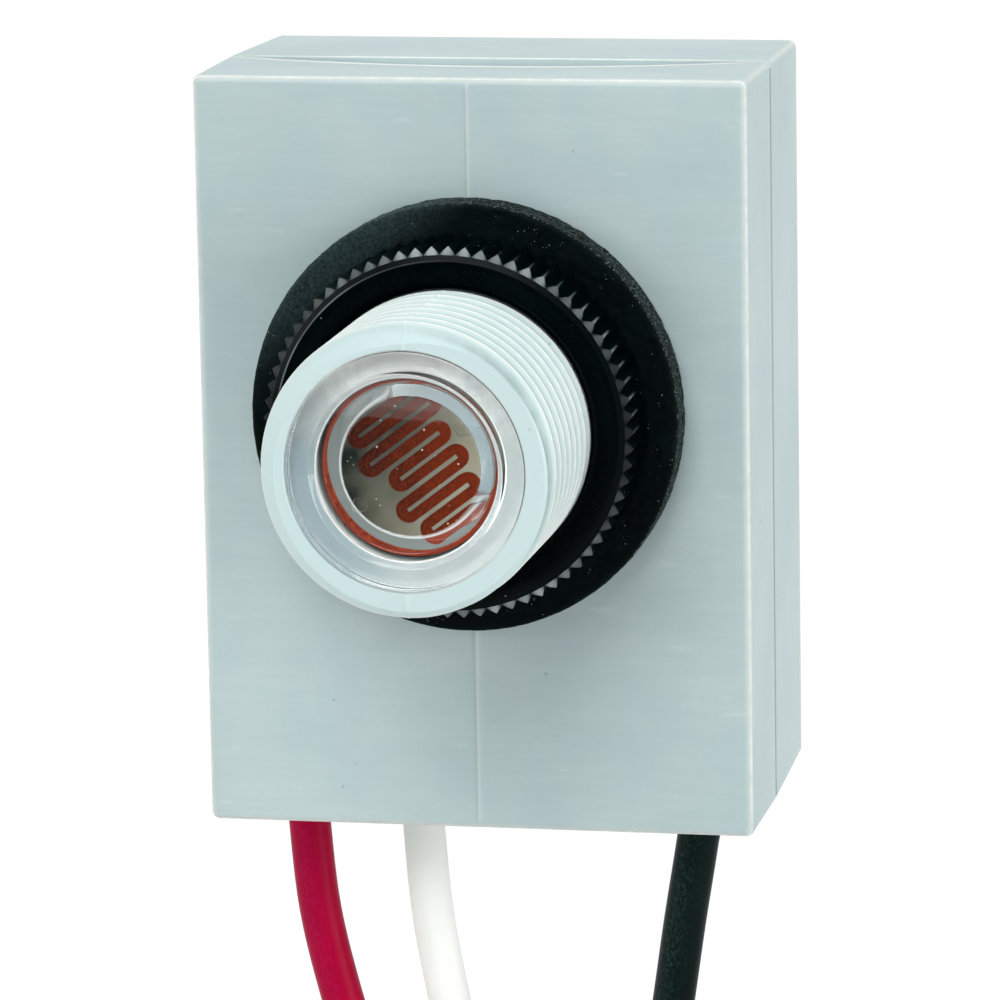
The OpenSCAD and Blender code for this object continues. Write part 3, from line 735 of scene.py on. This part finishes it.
rim = rear_rim(REAR_START)
tray = [centre_ring(CASE_D)] + between(centre_ring(CASE_D), wall_ring(CASE_D, 0.0, DRAFT), 4)
tray += [wall_ring(CASE_D - EDGE_R * (1 - math.cos(b)), EDGE_R * math.sin(b), DRAFT) for b in bend[1:]]
tray += [wall_ring(CASE_D - EDGE_R + (rim + RIM_R - CASE_D + EDGE_R) * t, EDGE_R, DRAFT * (1 - t))
    for t in np.linspace(0.1, 1, 9)]
tray += [wall_ring(rim + RIM_R * (1 - math.sin(b)), EDGE_R - RIM_R * (1 - math.cos(b))) for b in bend[1:]]
tray += [inner_ring(rim, WALL - LIP_T), inner_ring(rear_rim(LIP_FROM + LIP_EDGE), WALL - LIP_T),
    inner_ring(rear_rim(LIP_FROM), WALL - LIP_T + LIP_EDGE), inner_ring(rear_rim(LIP_FROM), WALL)]
tray += between(tray[-1], inner_ring(CASE_D - WALL, WALL), 3)
tray += between(tray[-1], centre_ring(CASE_D - WALL), 2)
post = [(0, CASE_D - WALL), (POST_R, CASE_D - WALL), (POST_R, BASE_BACK), (PEG_R, BASE_BACK),
    (PEG_R, BASE_FRONT - PEG_R + PEG_EDGE), (PEG_R - PEG_EDGE, BASE_FRONT - PEG_R), (0, BASE_FRONT - PEG_R)]
patches = [(np.array(tray), grid_faces(len(tray), columns))] + [turned(spot, post) for spot in POSTS]
print("rings of the tray", len(tray), "posts", len(POSTS))

# %% [markdown]
# The tray gets painted highlights like the front half: its back edge a little, its corners more, and its rim most in
# the middle of the top; its seam on the sides gets painted shade. The tray and its posts become one mesh.

# %% Painted highlights and shade on the rear half
BACK_EDGE_ROWS, WALL_ROWS, RIM_ROWS, SEAM_ROWS = slice(5, 10), slice(5, 19), slice(18, 23), slice(20, 24)
BACK_EDGE_HIGHLIGHT = 0.3
TRAY_RIM_HIGHLIGHT = np.array([0.1, 0.8, 1.0, 0.6, 0.2])

tray_marks = np.zeros((len(tray), columns))
# Painted highlights on the back edge, the corners and the rim, and painted shade in the seam on the sides.
tray_marks[BACK_EDGE_ROWS] = BACK_EDGE_HIGHLIGHT
tray_marks[WALL_ROWS] = np.maximum(tray_marks[WALL_ROWS], corner)
tray_marks[RIM_ROWS] = TRAY_RIM_HIGHLIGHT[:, None] * top_highlight
tray_marks[SEAM_ROWS, on_sides] = SEAM_PAINTED_SHADE
marks = [tray_marks] + [np.zeros(points.shape[:2]) for points, _ in patches[1:]]
rear = piece("rear_half", patches, "case", ["rear_case"], marks=marks)

# %% [markdown]
# ## Case plastic
# The case is a pale blue-grey plastic with a satin skin. Up close it shows a soft drift of colour, flow marks that run
# across the face, and fine handling scratches. Noise drawn out along X gives both: long soft bands for the flow, and
# short thin ones for the scratches. The thin stem is painted paler, a painted glow of light through the plastic, and
# the lens's seat is painted darker, a painted shade. The marks then add painted highlights and painted shade.

# %% Finish of the case
FORWARD = (0, -1, 0)
THIN_FROM, THIN_TO = 2, 9
PLASTIC_DEEP, PLASTIC_PALE, PLASTIC_BLUE = rgb(166, 187, 188), rgb(199, 217, 216), rgb(173, 194, 203)
STEM_PAINTED_GLOW, SEAT_PAINTED_SHADE = rgb(202, 223, 223), rgb(150, 167, 172)
SCRATCH_PALE, SPECK_GREY = rgb(214, 226, 224), rgb(120, 134, 134)
HIGHLIGHT_CREAM, HIGHLIGHT_WHITE, PAINTED_SHADE_GREY = rgb(226, 226, 217), rgb(244, 247, 245), rgb(108, 124, 125)


def case_recipe(s):
    drift = s.noise(45, 2).clip(0.3, 0.7)
    flow = s.noise(520, stretch=(0.2, 1, 1))
    fine = s.noise(2600, 2)
    scratch = s.noise(1500, 1, stretch=(0.16, 1, 0.8)).clip(0.64, 0.74) * s.noise(220, 1).clip(0.45, 0.65)
    speck = s.specks(420, 0.07) * s.noise(150, 1).clip(0.52, 0.58)
    streak = s.noise(2200, 2, stretch=(0.07, 1, 1))
    colour = (drift * 0.3 + flow * 0.25 + streak * 0.3 + fine * 0.15).mix(PLASTIC_DEEP, PLASTIC_PALE)
    colour = (s.noise(150, 3).clip(0.42, 0.66) * 0.3).mix(colour, PLASTIC_BLUE)
    # Painted glow over the stem, as light through thin plastic, and painted shade on the lens's seat behind the lens.
    stem_painted_light = s.along(FORWARD).clip(THIN_FROM, THIN_TO)
    outside = s.from_axis().clip(SEAT_R, SEAT_R + 0.08)
    colour = (stem_painted_light * outside).mix(colour, STEM_PAINTED_GLOW)
    colour = (stem_painted_light * (1 - outside)).mix(colour, SEAT_PAINTED_SHADE)
    colour = (scratch * 0.3).mix(colour, SCRATCH_PALE)
    colour = (speck * 0.5).mix(colour, SPECK_GREY)
    # Marks above 0 paint highlights in cream and white; marks below 0 paint shade in grey.
    mark = s.mark() * (0.6 + 0.8 * s.noise(1100, 2))
    colour = (mark.clip(0, 0.5) * 0.4).mix(colour, HIGHLIGHT_CREAM)
    colour = (mark.clip(0.4, 1) * 0.9).mix(colour, HIGHLIGHT_WHITE)
    colour = ((0 - mark).clip(0, 0.7) * 0.6).mix(colour, PAINTED_SHADE_GREY)
    return {"Base Color": colour, "Roughness": 0.36 + 0.12 * flow + 0.06 * fine,
        "Normal": s.bump(flow * 0.5 + fine * 0.2 + scratch * 0.3, 0.3, 0.00004)}


dress(finish_of("case_plastic", case_recipe, IOR=1.46), front, rear)

# %% [markdown]
# ## Gasket
# A thick punched ring of foam rubber seals the stem to the panel. A plain turned ring would look
# too clean: punched rubber has a rough skin and a torn edge. The ring is a rounded profile spun
# about the axis, and a smoothed random field moves its points in and out.

# %% Gasket
GASKET_IN, GASKET_OUT, GASKET_T = 10.6, 15.8, 3.2
GASKET_SOFT = 0.3
GASKET_SIDES, GASKET_FACE, GASKET_WALL = 540, 26, 10
ROUGH_FINE, ROUGH_BROAD = (0.022, 1), (0.014, 4)
rng = np.random.default_rng(11)


def rough_field(rows, columns, depth, reach):
    """Random numbers times depth, smoothed over reach points each way; it closes on itself round the ring."""
    field = rng.standard_normal((rows, columns))
    for axis in (0, 1):
        field = sum(np.roll(field, k, axis) for k in range(-reach, reach + 1)) / math.sqrt(2 * reach + 1)
    return depth * field


def gasket_surface():
    """Rounded rectangle (r, forward) spun about the stem's axis, pushed along its normal by a rough field.

    The cut wall, round the outside, is marked with 1.
    """
    corner = np.radians(np.linspace(0, 90, 5))
    soft, rim = GASKET_SOFT, GASKET_OUT - GASKET_SOFT
    flank = np.linspace(GASKET_T - soft, soft, GASKET_WALL + 2)[1:-1]
    r = np.concatenate([np.linspace(GASKET_IN, rim, GASKET_FACE), rim + soft * np.sin(corner[1:]),
        np.full(GASKET_WALL, GASKET_OUT), rim + soft * np.cos(corner), [GASKET_IN]])
    s = np.concatenate([np.full(GASKET_FACE, GASKET_T), GASKET_T - soft + soft * np.cos(corner[1:]), flank,
        soft - soft * np.sin(corner), [0.0]])
    push = rough_field(len(r), GASKET_SIDES, *ROUGH_FINE) + rough_field(len(r), GASKET_SIDES, *ROUGH_BROAD)
    # The back and the bore stay true, so that the ring sits flat on the case and clear of the stem.
    push[(s < 0.05) | (r < GASKET_IN + 0.01)] = 0
    flat = np.where(r < rim, 1, np.clip((s - flank[0]) / soft, 0, 1))[:, None]
    u = np.linspace(0, 2 * np.pi, GASKET_SIDES, endpoint=False)
    rr, ss = r[:, None] + push * (1 - flat), s[:, None] + push * flat
    points = np.stack([rr * np.cos(u), -ss, rr * np.sin(u)], -1)
    points = np.concatenate([points, points[:1]])
    cut = np.where((r > GASKET_OUT - 0.2) & (s < GASKET_T - 0.1), 1.0, 0.0)
    cut = np.repeat(np.append(cut, 0.0)[:, None], GASKET_SIDES, 1)
    return (points, grid_faces(len(points), GASKET_SIDES)), cut


surface, cut = gasket_surface()
gasket = piece("gasket_ring", [surface], "gasket", ["gasket"], sharp=60, marks=[cut])

# %% [markdown]
# The rubber is nearly black, with a blue-green cast. Its upper left has a painted sheen, pale dust sits on its face,
# and its cut wall shows torn foam as pale grains.

# %% Finish of the gasket
SHEEN_WAY, SHEEN_FROM, SHEEN_TO = (-0.64, 0, 0.77), 11, 15.5
RUBBER_DARK, RUBBER_PALE, RUBBER_PAINTED_SHEEN = rgb(0, 7, 7), rgb(3, 16, 17), rgb(56, 74, 76)
RUBBER_DUST, RUBBER_TORN = rgb(176, 192, 190), rgb(134, 152, 152)


def rubber_recipe(s):
    dust = s.specks(3400, 0.17) * s.noise(900, 1).clip(0.56, 0.66)
    grain = s.noise(1700)
    # Painted sheen on the upper left of the face.
    sheen = s.along(SHEEN_WAY).clip(SHEEN_FROM, SHEEN_TO) * (0.35 + 0.45 * s.noise(5200, 4).clip(0.35, 0.65))
    patch = s.noise(260, 2).clip(0.35, 0.75)
    colour = patch.mix(RUBBER_DARK, RUBBER_PALE)
    colour = sheen.mix(colour, RUBBER_PAINTED_SHEEN)
    colour = (dust * 0.6).mix(colour, RUBBER_DUST)
    colour = (s.mark() * s.noise(6000, 1).clip(0.52, 0.74) * 0.6).mix(colour, RUBBER_TORN)
    return {"Base Color": colour, "Roughness": 0.5 + 0.25 * grain,
        "Normal": s.bump(grain + dust * 0.6, 0.6, 0.00016)}


dress(finish_of("gasket_rubber", rubber_recipe, IOR=1.18, Specular_IOR_Level=0.3), gasket)

# %% [markdown]
# ## Locknut
# A black moulded nut with a fine knurl. Its radius is a triangle wave round the ring, and the front of the teeth is cut
# by a shallow cone, which leaves one triangular facet on each tooth, some of them painted bright as highlights. The
# profile runs from the bore over the flat face, down the cone to the tooth, back along the tooth and in across the
# back. Steps of a few hundredths of a millimetre break its edges.

# %% Locknut
NUT_BACK, NUT_FRONT = 3.2, 9.1
TIP_R, TOOTH_DEPTH, TEETH = 13.6, 0.55, 70
TOOTH_TURN = 1.4
TOOTH_STEPS = 8
FACE_R = 12.6
NUT_BORE, NUT_LEAD_IN = 10.51, 0.5
CONE = 0.5
FACETS, FACE_EDGE, TIPS = slice(8, 10), 5, 10


def nut_surface():
    """Profile (r, forward) round the axis, where the outer radius is tip - depth x triangle wave.

    The marks paint highlights on the facets at the top and the bottom right, a highlight on the face's edge at the left
    and glints on the tips at the right.
    """
    u = np.arange(TEETH * TOOTH_STEPS) / (TEETH * TOOTH_STEPS)
    wave = np.abs(((u * TEETH) % 1) * 2 - 1)
    # Tips and roots are a little flat, as a mould leaves them.
    wave = 1 - np.clip((1 - wave) * 1.08 - 0.04, 0, 1)
    tooth = TIP_R - TOOTH_DEPTH * (1 - wave)
    cone_at = NUT_FRONT - CONE * (tooth - FACE_R) / (TIP_R - FACE_R)
    base_r = TIP_R - TOOTH_DEPTH - 0.08
    base_at = NUT_FRONT - CONE * (base_r - FACE_R) / (TIP_R - FACE_R)
    profile = [(NUT_BORE, NUT_BACK), (NUT_BORE, NUT_FRONT - NUT_LEAD_IN), (NUT_BORE + NUT_LEAD_IN, NUT_FRONT - 0.03),
        (NUT_BORE + NUT_LEAD_IN + 0.06, NUT_FRONT), (FACE_R - 0.12, NUT_FRONT), (FACE_R - 0.03, NUT_FRONT - 0.02),
        (FACE_R + 0.04, NUT_FRONT - 0.06), (base_r, base_at), (base_r + 0.02, base_at - 0.01),
        (tooth - 0.05, cone_at + 0.02), (tooth, cone_at - 0.05), (tooth, NUT_BACK + 3), (tooth, NUT_BACK + 0.06),
        (tooth - 0.06, NUT_BACK), (NUT_BORE, NUT_BACK)]
    one = np.ones_like(u)
    r = np.array([p * one for p, _ in profile])
    s = np.array([q * one for _, q in profile])
    a = 2 * np.pi * u + math.radians(TOOTH_TURN)
    points = np.stack([r * np.cos(a), -s, r * np.sin(a)], -1)
    facet_highlights = np.zeros(r.shape)
    # Painted reflections on the facets, strongest at the top and the bottom right, a painted highlight on the face's
    # edge and painted glints on the tips.
    facet_highlights[FACETS] = np.clip(1.6 * wave, 0, 1) * (0.06 + 0.94 * np.maximum(bell(u, 0.235, 0.11), bell(u, 0.8, 0.09)))
    facet_highlights[FACE_EDGE] = 0.6 * bell(u, 0.4, 0.1)
    facet_highlights[TIPS] = 0.8 * np.clip(6 * wave - 5, 0, 1) * bell(u, 0.08, 0.08)
    return (points, grid_faces(len(points), len(u))), facet_highlights


surface, facet_highlights = nut_surface()
nut = piece("knurled_nut", [surface], "locknut", ["locknut"], sharp=28, marks=[facet_highlights])

# %% [markdown]
# The nut's plastic is black and half glossy. Dust lies on it, and the marks paint pale, dull highlights on the facets,
# the face's edge and the tooth tips.

# %% Finish of the locknut
NUT_DARK, NUT_WORN = rgb(0, 6, 6), rgb(2, 11, 11)
NUT_DUST, NUT_PAINTED_HIGHLIGHT = rgb(150, 165, 164), rgb(178, 192, 190)


def nut_recipe(s):
    grain = s.noise(1600)
    wear = s.noise(240).clip(0.4, 0.8)
    dust = s.specks(1500, 0.12) * s.noise(500, 1).clip(0.58, 0.68)
    highlight_mask = s.mark() * (0.55 + 0.45 * s.noise(330, 1).clip(0.38, 0.6))
    colour = (dust * 0.6).mix(wear.mix(NUT_DARK, NUT_WORN), NUT_DUST)
    # Painted highlights where the marks lie, also made duller.
    colour = (highlight_mask * 0.8).mix(colour, NUT_PAINTED_HIGHLIGHT)
    return {"Base Color": colour, "Roughness": 0.2 + 0.12 * grain + 0.2 * highlight_mask,
        "Normal": s.bump(grain + dust, 0.25, 0.00005)}


dress(finish_of("nut_plastic", nut_recipe, IOR=1.26, Specular_IOR_Level=0.14), nut)

# %% [markdown]
# ## Lens
# A clear moulded plug closes the end of the stem. Its shape is a turned profile, so it could be a
# CAD solid with a glass material, but the facets of an imported mesh would break up the refraction.
# A finely turned surface with small rounded edges bends light cleanly. It stops a hair in front of
# the cell, so that glass and metal never share a plane. It throws no shadow, because Cycles lights
# what lies behind glass by chance hits alone, and the cell would be dark and grainy.

# %% Lens
LENS_R, LENS_FRONT, LENS_BACK = 8.5, 23.2, 21.24
LENS_ROUND, LENS_SIDES = 0.14, 256
DISH_R, DISH_SLOPE, DISH_FLOOR = 6.9, 0.35, 22.6
BOSS_R, WINDOW_R, WINDOW_AT = 6.1, 5.0, 20.34


def rounded(profile, radius, steps=5):
    """Profile with each inner corner replaced by a parabola, from radius before the corner to radius after it."""
    p = np.array(profile, float)
    before, corner, after = p[:-2], p[1:-1], p[2:]
    back, on = before - corner, after - corner
    back_l, on_l = (np.linalg.norm(way, axis=1, keepdims=True) for way in (back, on))
    reach = np.minimum(radius, 0.45 * np.minimum(back_l, on_l))
    a, b = corner + reach * back / back_l, corner + reach * on / on_l
    t = np.linspace(0, 1, steps)[None, :, None]
    arc = (1 - t) ** 2 * a[:, None] + 2 * t * (1 - t) * corner[:, None] + t**2 * b[:, None]
    return np.concatenate([p[:1], arc.reshape(-1, 2), p[-1:]])


def spun(profile, sides):
    """Profile of (radius, forward) pairs spun about the stem's axis; points on the axis become poles."""
    u = np.linspace(0, 2 * np.pi, sides, endpoint=False)
    r, s = np.array(profile).T[:, :, None]
    points = np.stack([r * np.cos(u), -s + 0 * u, r * np.sin(u)], -1)
    return points, grid_faces(len(profile), sides)


def lens_recipe(s):
    haze = s.noise(900).clip(0.5, 0.9)
    return {"Roughness": 0.02 + 0.05 * haze}


lens_profile = rounded([(0, WINDOW_AT), (WINDOW_R, WINDOW_AT), (BOSS_R, LENS_BACK), (LENS_R, LENS_BACK),
    (LENS_R, LENS_FRONT), (DISH_R, LENS_FRONT), (DISH_R - DISH_SLOPE, DISH_FLOOR), (0, DISH_FLOOR)], LENS_ROUND)
lens = piece("clear_lens", [spun(lens_profile, LENS_SIDES)], "case", ["lens"], sharp=50)
lens.visible_shadow = False
clear = finish_of("clear_plastic", lens_recipe, Base_Color=rgb(250, 252, 252), IOR=1.49, Transmission_Weight=1.0)
dress(clear, lens)

# %% [markdown]
# ## Light cell
# Behind the lens a ceramic disc carries an orange light-sensitive layer, and two metal combs on it leave a winding
# track of the layer open. These are thin flat solids that CAD already shapes well, so they only get finishes: a grainy
# deep orange, and a dull grey-green metal with bright specks. Both are painted darker towards the left as shade;
# outside the lens's window they turn to a pale painted haze, a painted reflection of the lens, and a painted highlight
# rings the window.
# The metal is printed a little off the disc's middle, so a red-brown arc is left bare at the lower left.

# %% Finishes of the cell
FILM_LIT_WAY, METAL_LIT_WAY = (1, 0, 0), (0.92, 0, -0.38)
PRINT_X, PRINT_Z, PRINT_R = 0.25, 0.3, 6.03
FILM_DARK, FILM_LIT, FILM_PAINTED_HAZE, FILM_GLINT = rgb(12, 4, 2), rgb(114, 37, 4), rgb(128, 46, 24), rgb(235, 225, 215)
METAL_DARK, METAL_LIT, METAL_PAINTED_HAZE = rgb(8, 21, 18), rgb(146, 143, 126), rgb(118, 126, 123)
METAL_GLINT, WINDOW_PAINTED_HIGHLIGHT = rgb(235, 235, 228), rgb(205, 210, 208)
RIM_DARK, RIM_PALE = rgb(96, 32, 18), rgb(150, 62, 38)


def hazed_by_lens(s, colour, haze_colour):
    """Outside the window the colour turns to a pale painted haze, for the reflection in the lens's cone; a painted
    highlight rings the window's edge.
    """
    # Painted haze outside the window, and a painted highlight ring at its edge.
    out_of_window = s.from_axis().clip(WINDOW_R - 0.05, WINDOW_R + 0.1)
    ring = out_of_window * (1 - s.from_axis().clip(WINDOW_R + 0.08, WINDOW_R + 0.16))
    return ring.mix(out_of_window.mix(colour, haze_colour), WINDOW_PAINTED_HIGHLIGHT)


def film_recipe(s):
    grain = s.noise(5200)
    cloud = s.noise(700, 2).clip(0.3, 0.7)
    spark = s.specks(1500, 0.11) * s.noise(800, 1).clip(0.55, 0.6)
    # Painted shade: the film is darker towards the left.
    lit = cloud * 0.1 + grain.clip(0.35, 0.65) * 0.4 + s.along(FILM_LIT_WAY).clip(-5, 5) * 0.6
    colour = spark.mix(lit.mix(FILM_DARK, FILM_LIT), FILM_GLINT)
    return {"Base Color": hazed_by_lens(s, colour, FILM_PAINTED_HAZE), "Roughness": 0.5 + 0.2 * grain,
        "Normal": s.bump(grain, 0.4, 0.00004)}


def comb_recipe(s):
    grain = s.noise(4200)
    cloud = s.noise(420, 2).clip(0.3, 0.75)
    spark = s.specks(2100, 0.1) * s.noise(1200, 1).clip(0.56, 0.62)
    # Painted shade: the metal is darker towards the upper left.
    lit = cloud * 0.2 + s.along(METAL_LIT_WAY).clip(-4, 5) * 0.85
    colour = hazed_by_lens(s, spark.mix(lit.mix(METAL_DARK, METAL_LIT), METAL_GLINT), METAL_PAINTED_HAZE)
    off_print = s.from_axis(PRINT_X, PRINT_Z).clip(PRINT_R - 0.03, PRINT_R + 0.03)
    bare = off_print * s.along(FORWARD).clip(CELL_SEAT, CELL_SEAT + 1)
    colour = bare.mix(colour, grain.clip(0.3, 0.7).mix(RIM_DARK, RIM_PALE))
    return {"Base Color": colour, "Roughness": 0.42 + 0.2 * grain, "Normal": s.bump(grain, 0.3, 0.00003)}


def ceramic_recipe(s):
    grain = s.noise(2600)
    return {"Base Color": grain.mix(rgb(206, 206, 196), rgb(228, 228, 220)), "Roughness": 0.55 + 0.2 * grain}


dress(finish_of("orange_film", film_recipe, Specular_IOR_Level=0.1), "cell_film")
dress(finish_of("comb_metal", comb_recipe, Specular_IOR_Level=0.1),
    "electrode_outer", "electrode_inner", "cell_lead_line", "cell_lead_heater")
dress(finish_of("cell_ceramic", ceramic_recipe), "cell_disc")

# %% [markdown]
# ## Bimetal strip
# Inside the case a strip of two metals bends when a heater warms it, and opens the contact. The CAD plate is rigid, so
# it would swing off its terminal. Here the strip is a straight rectangle with cut corners carried along its length in
# short steps, set where the CAD plate was.

# %% Bimetal strip
STRIP_STEPS = 40
STRIP_EDGE = 0.08


def strip_surface(low, high):
    """Rectangle with cut corners (y, z)(u) carried along X in even steps v, both ends closed to a point."""
    e = STRIP_EDGE
    y = np.array([low[1] + e, high[1] - e, high[1], high[1], high[1] - e, low[1] + e, low[1], low[1]])
    z = np.array([low[2], low[2], low[2] + e, high[2] - e, high[2], high[2], high[2] - e, low[2] + e])
    x = np.linspace(low[0], high[0], STRIP_STEPS)[:, None]
    rings = np.stack(np.broadcast_arrays(x, y, z), -1)
    caps = np.repeat(rings[[0, -1]].mean(1, keepdims=True), len(y), 1)
    rings = np.concatenate([caps[:1], rings, caps[1:]])
    return rings, grid_faces(len(rings), len(y))


strip_low, strip_high = (np.array(c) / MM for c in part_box("bimetal_arm"))
strip = piece("bimetal_strip", [strip_surface(strip_low, strip_high)], None, ["bimetal_arm"])
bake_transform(strip)

# %% [markdown]
# ## Switch inside the case
# The switch is closed in, but the part may be opened or cut through, so its pieces have finishes
# too: a brown laminate plate with cloth fibres, brushed brass, tinned wire, a bimetal strip and a
# glazed heater.

# %% Finishes of the switch
METALS = {
    "brass": (rgb(176, 136, 62), rgb(222, 188, 110),
        ["line_terminal", "load_terminal", "neutral_terminal", "heater_terminal", "terminal_rivets"]),
    "tinned_wire": (rgb(170, 170, 166), rgb(214, 214, 210), ["heater_leads"]),
    "bimetal": (rgb(160, 140, 112), rgb(206, 190, 164), [strip]),
    "silver_contact": (rgb(196, 196, 190), rgb(236, 236, 232), ["moving_contact", "fixed_contact"]),
}


def metal_recipe(dull, bright):
    """Recipe of a brushed metal: fine lines along X, and a stain that dulls it."""
    def recipe(s):
        brush = s.noise(1600, stretch=(0.08, 1, 1))
        stain = s.noise(300).clip(0.4, 0.8)
        return {"Base Color": (brush * 0.5 + stain * 0.5).mix(bright, dull), "Roughness": 0.25 + 0.2 * brush,
            "Normal": s.bump(brush, 0.2, 0.00002)}
    return recipe


def laminate_recipe(s):
    weave = s.noise(1400, stretch=(1, 1, 0.2)) * 0.5 + s.noise(1400, stretch=(0.2, 1, 1)) * 0.5
    return {"Base Color": weave.mix(rgb(92, 54, 30), rgb(140, 90, 56)), "Roughness": 0.5 + 0.2 * weave,
        "Normal": s.bump(weave, 0.3, 0.00004)}


def heater_recipe(s):
    grain = s.noise(1800)
    return {"Base Color": grain.mix(rgb(84, 62, 48), rgb(128, 100, 80)), "Roughness": 0.35 + 0.2 * grain}


for name, (dull, bright, nodes) in METALS.items():
    dress(finish_of(name, metal_recipe(dull, bright), Metallic=1.0), *nodes)
dress(finish_of("laminate", laminate_recipe), "switch_base")
dress(finish_of("heater_glaze", heater_recipe), "heater")
print("finishes", len(bpy.data.materials))

# %% [markdown]
# ## Floor, light and background
# The switch hangs by its stem, so the floor lies just below the leads. It is pale, and camera,
# mirror and glass rays see most of it as plain white, like a product page. A Light Path node tells
# these rays from the ones that light the object.

# %% Floor
FLOOR_Z = -0.188
FLOOR_HALF = 8.0
FLOOR_GREY = 0.8
DIRECT = 0.92
MATT = 0.9


def seen_directly(shade):
    """1 for rays from the camera, a mirror or glass; 0 for the rays that light the object."""
    rays = [shade.node("ShaderNodeLightPath", out=k) for k in ("Is Camera Ray", "Is Glossy Ray", "Is Transmission Ray")]
    return shade.math("MAXIMUM", shade.math("MAXIMUM", rays[0], rays[1]), rays[2])


def sheet(name, corners):
    """A flat square from four corners, marked as part of the stage."""
    mesh = bpy.data.meshes.new(name)
    mesh.from_pydata(np.array(corners, float), [], [(0, 1, 2, 3)])
    made = bpy.data.objects.new(name, mesh)
    bpy.context.scene.collection.objects.link(made)
    return made


def matt_paper(name, grey):
    """A plain matt material of one grey."""
    return finish_of(name, lambda s: {}, Base_Color=(grey, grey, grey, 1), Roughness=MATT)


paper = matt_paper("floor_paper", FLOOR_GREY)
tree = paper.node_tree
glow = Shade(tree).node("ShaderNodeEmission", None, {"Color": (1, 1, 1, 1), "Strength": 1 / DIRECT})
mixed = Shade(tree).node("ShaderNodeMixShader", None, {0: seen_directly(Shade(tree)) * DIRECT,
    1: Shade(tree, tree.nodes["Principled BSDF"].outputs[0]), 2: glow})
tree.links.new(mixed.socket, tree.nodes["Material Output"].inputs["Surface"])
a = FLOOR_HALF
floor = sheet("floor", [(-a, -a, FLOOR_Z), (a, -a, FLOOR_Z), (a, a, FLOOR_Z), (-a, a, FLOOR_Z)])
dress(paper, floor)

# %% [markdown]
# Photographers set a black card in front of glossy things, so that black plastic and glass mirror
# something dark. This card is seen by mirror and glass rays alone and throws no shade.

# %% Black card
CARD_LEFT, CARD_RIGHT, CARD_TOP, CARD_Y = -0.9, 0.45, 0.3, -0.75
CARD_GREY = 0.02

card = sheet("black_card", [(CARD_LEFT, CARD_Y, FLOOR_Z), (CARD_RIGHT, CARD_Y, FLOOR_Z),
    (CARD_RIGHT, CARD_Y, CARD_TOP), (CARD_LEFT, CARD_Y, CARD_TOP)])
for ray in ("camera", "diffuse", "shadow"):
    setattr(card, "visible_" + ray, False)
dress(matt_paper("black_card", CARD_GREY), card)

# %% [markdown]
# Four square lamps light the object from about a metre away: one high in front, one at each side and
# one above and behind. They could be bare points, but large soft lamps give the plain, even light of
# a product photograph. A weak white sky fills the shadows, and shows as full white behind the object.

# %% Lamps and sky
LAMP_SIZE = 0.6
LAMPS = {
    "key": ((-0.1, -0.8, 0.7), 5.8),
    "left": ((-0.9, -0.6, 0.3), 4.0),
    "right": ((1.0, -0.3, 0.15), 6.2),
    "top": ((0.1, 0.3, 1.0), 5.0),
}
SKY = 0.1

for name, (spot, power) in LAMPS.items():
    lamp = bpy.data.lights.new(name, "AREA")
    lamp.size = LAMP_SIZE
    lamp.energy = power
    shown = bpy.data.objects.new(name, lamp)
    shown.location = spot
    shown.rotation_euler = (-Vector(spot)).to_track_quat("-Z", "Y").to_euler()
    bpy.context.scene.collection.objects.link(shown)
world = bpy.data.worlds.new("studio")
bpy.context.scene.world = world
world.use_nodes = True
background = world.node_tree.nodes["Background"]
strength = seen_directly(Shade(world.node_tree)) * (1 - SKY) + SKY
world.node_tree.links.new(strength.socket, background.inputs["Strength"])
background.inputs["Color"].default_value = (1, 1, 1, 1)
bpy.context.scene.view_settings.view_transform = "Standard"
print("lamps", sorted(LAMPS))
